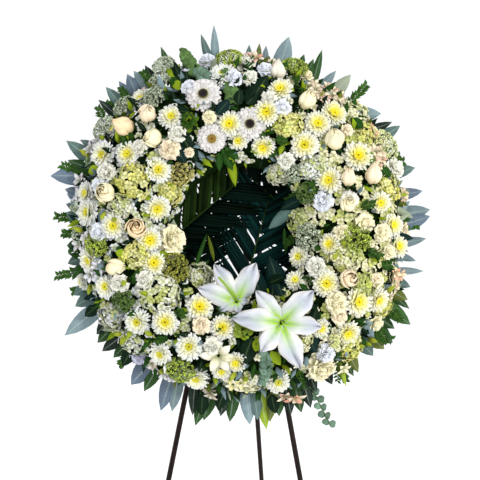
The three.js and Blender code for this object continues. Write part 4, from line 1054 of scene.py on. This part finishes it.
named = [s[:3] for s in CHRYSANTHEMUMS + CARNATIONS + HYDRANGEAS + umbels + ROSES + GERBERAS + SMALL_LILIES]
named += [((x + a) / 2, (z + b) / 2, 1.5 * wide) for x, z, a, b, wide, _ in BANK_LEAVES if wide > 38]
add_filler(pieces["filler_florets"], leaves, np.array(named, float))
add_bank_leaves(leaves, BANK_LEAVES)
add_fringe(leaves, 260)
add_rosettes(leaves, ROSETTES)
for x, z, tip_x, tip_z, count, leaf, colour in ROUND_SPRIGS:
    add_sprig(leaves, on_bank(x, z, HEAD_LIFT - 2), on_bank(tip_x, tip_z, HEAD_LIFT + 8), count, leaf,
              leaf * 0.95, tone(colour), [0.35, 0.82, 1.0, 0.92, 0.5])
for x, z, tip_x, tip_z in TUFTS:
    add_sprig(leaves, on_bank(x, z, HEAD_LIFT - 8), on_bank(tip_x, tip_z, HEAD_LIFT + 4), 12, 17, 5.5,
              tone("sprig") * 0.7)
add_buds(leaves, BUDS)
add_core(pieces["bank_core"])
add_rim_leaves(pieces["rim_leaves"], RIM_LEAVES)
for row, *look in [(row, 26, 20, 7.5, tone("sprig")) for row in RIM_SPRIGS] + [
        (TRAILING_SPRIG, 14, 20, 17.0, tone("gum_blue"), [0.4, 0.85, 1.0, 0.95, 0.6])]:
    x, z, tip_x, tip_z = row
    add_sprig(pieces["rim_sprigs"], round_ring(math.atan2(z, x), RIM_ROOT, SPRIG_LAYER),
              (tip_x, SPRIG_LAYER - 2, tip_z), *look)
add_palm(pieces["palm_leaflets"])

bunches, rims = numbered("flower_bunch", 12, 2), numbered("rim_foliage", 8)
for name, material, slot, nodes in (
        ("chrysanthemum_petals", white_petal, "white_petal", bunches),
        ("carnation_petals", white_petal, "white_petal", bunches),
        ("hydrangea_florets", white_petal, "white_petal", bunches),
        ("chrysanthemum_discs", yellow_disc, "green_umbel", ()),
        ("rose_petals", rose_petal, "rose_petal", numbered("rose", 13, 2)),
        ("gerbera_rays", white_petal, "white_petal", ["gerbera_upper", "gerbera_lower"]),
        ("gerbera_discs", dark_disc, "dark_disc", ["gerbera_centre_upper", "gerbera_centre_lower"]),
        ("umbels", umbel_floret, "green_umbel", numbered("umbel", 6)),
        ("lily_open_tepals", lily_petal, "lily_petal", ["lily_open"]),
        ("lily_side_tepals", lily_petal, "lily_petal", ["lily_side"]),
        ("lily_pistils", umbel_floret, "green_umbel", ()),
        ("filler_florets", white_petal, "white_petal", bunches),
        ("bank_leaves", small_leaf, "rim_leaf", bunches),
        ("bank_core", stems_in_painted_shade, "green_foam", bunches),
        ("rim_leaves", rim_leaf, "rim_leaf", rims),
        ("rim_sprigs", small_leaf, "rim_leaf", rims),
        ("palm_leaflets", palm_leaf, "palm_leaf", numbered("palm_frond", 5))):
    pieces[name].build(name, material, slot, nodes)

dress(["front_leg_left", "front_leg_right", "rear_leg", "head_block"], wood_material())
dress(["hinge_pin", "hanging_peg"], grained_material(
    "zinc_steel", (0.42, 0.42, 0.41), (0.6, 0.6, 0.58), 0.25, 0.0001, spread=0.3, detail=4.0,
    stretch=(60, 900, 900), Metallic=1.0))
dress(["ring_tray"], grained_material(
    "tray_plastic", (0.01, 0.03, 0.018), (0.03, 0.06, 0.035), 0.45, 0.0003, scale=300.0))
dress(["foam_ring"], grained_material(
    "wet_foam", (0.03, 0.14, 0.05), (0.08, 0.26, 0.1), 0.75, 0.0012, scale=500.0))
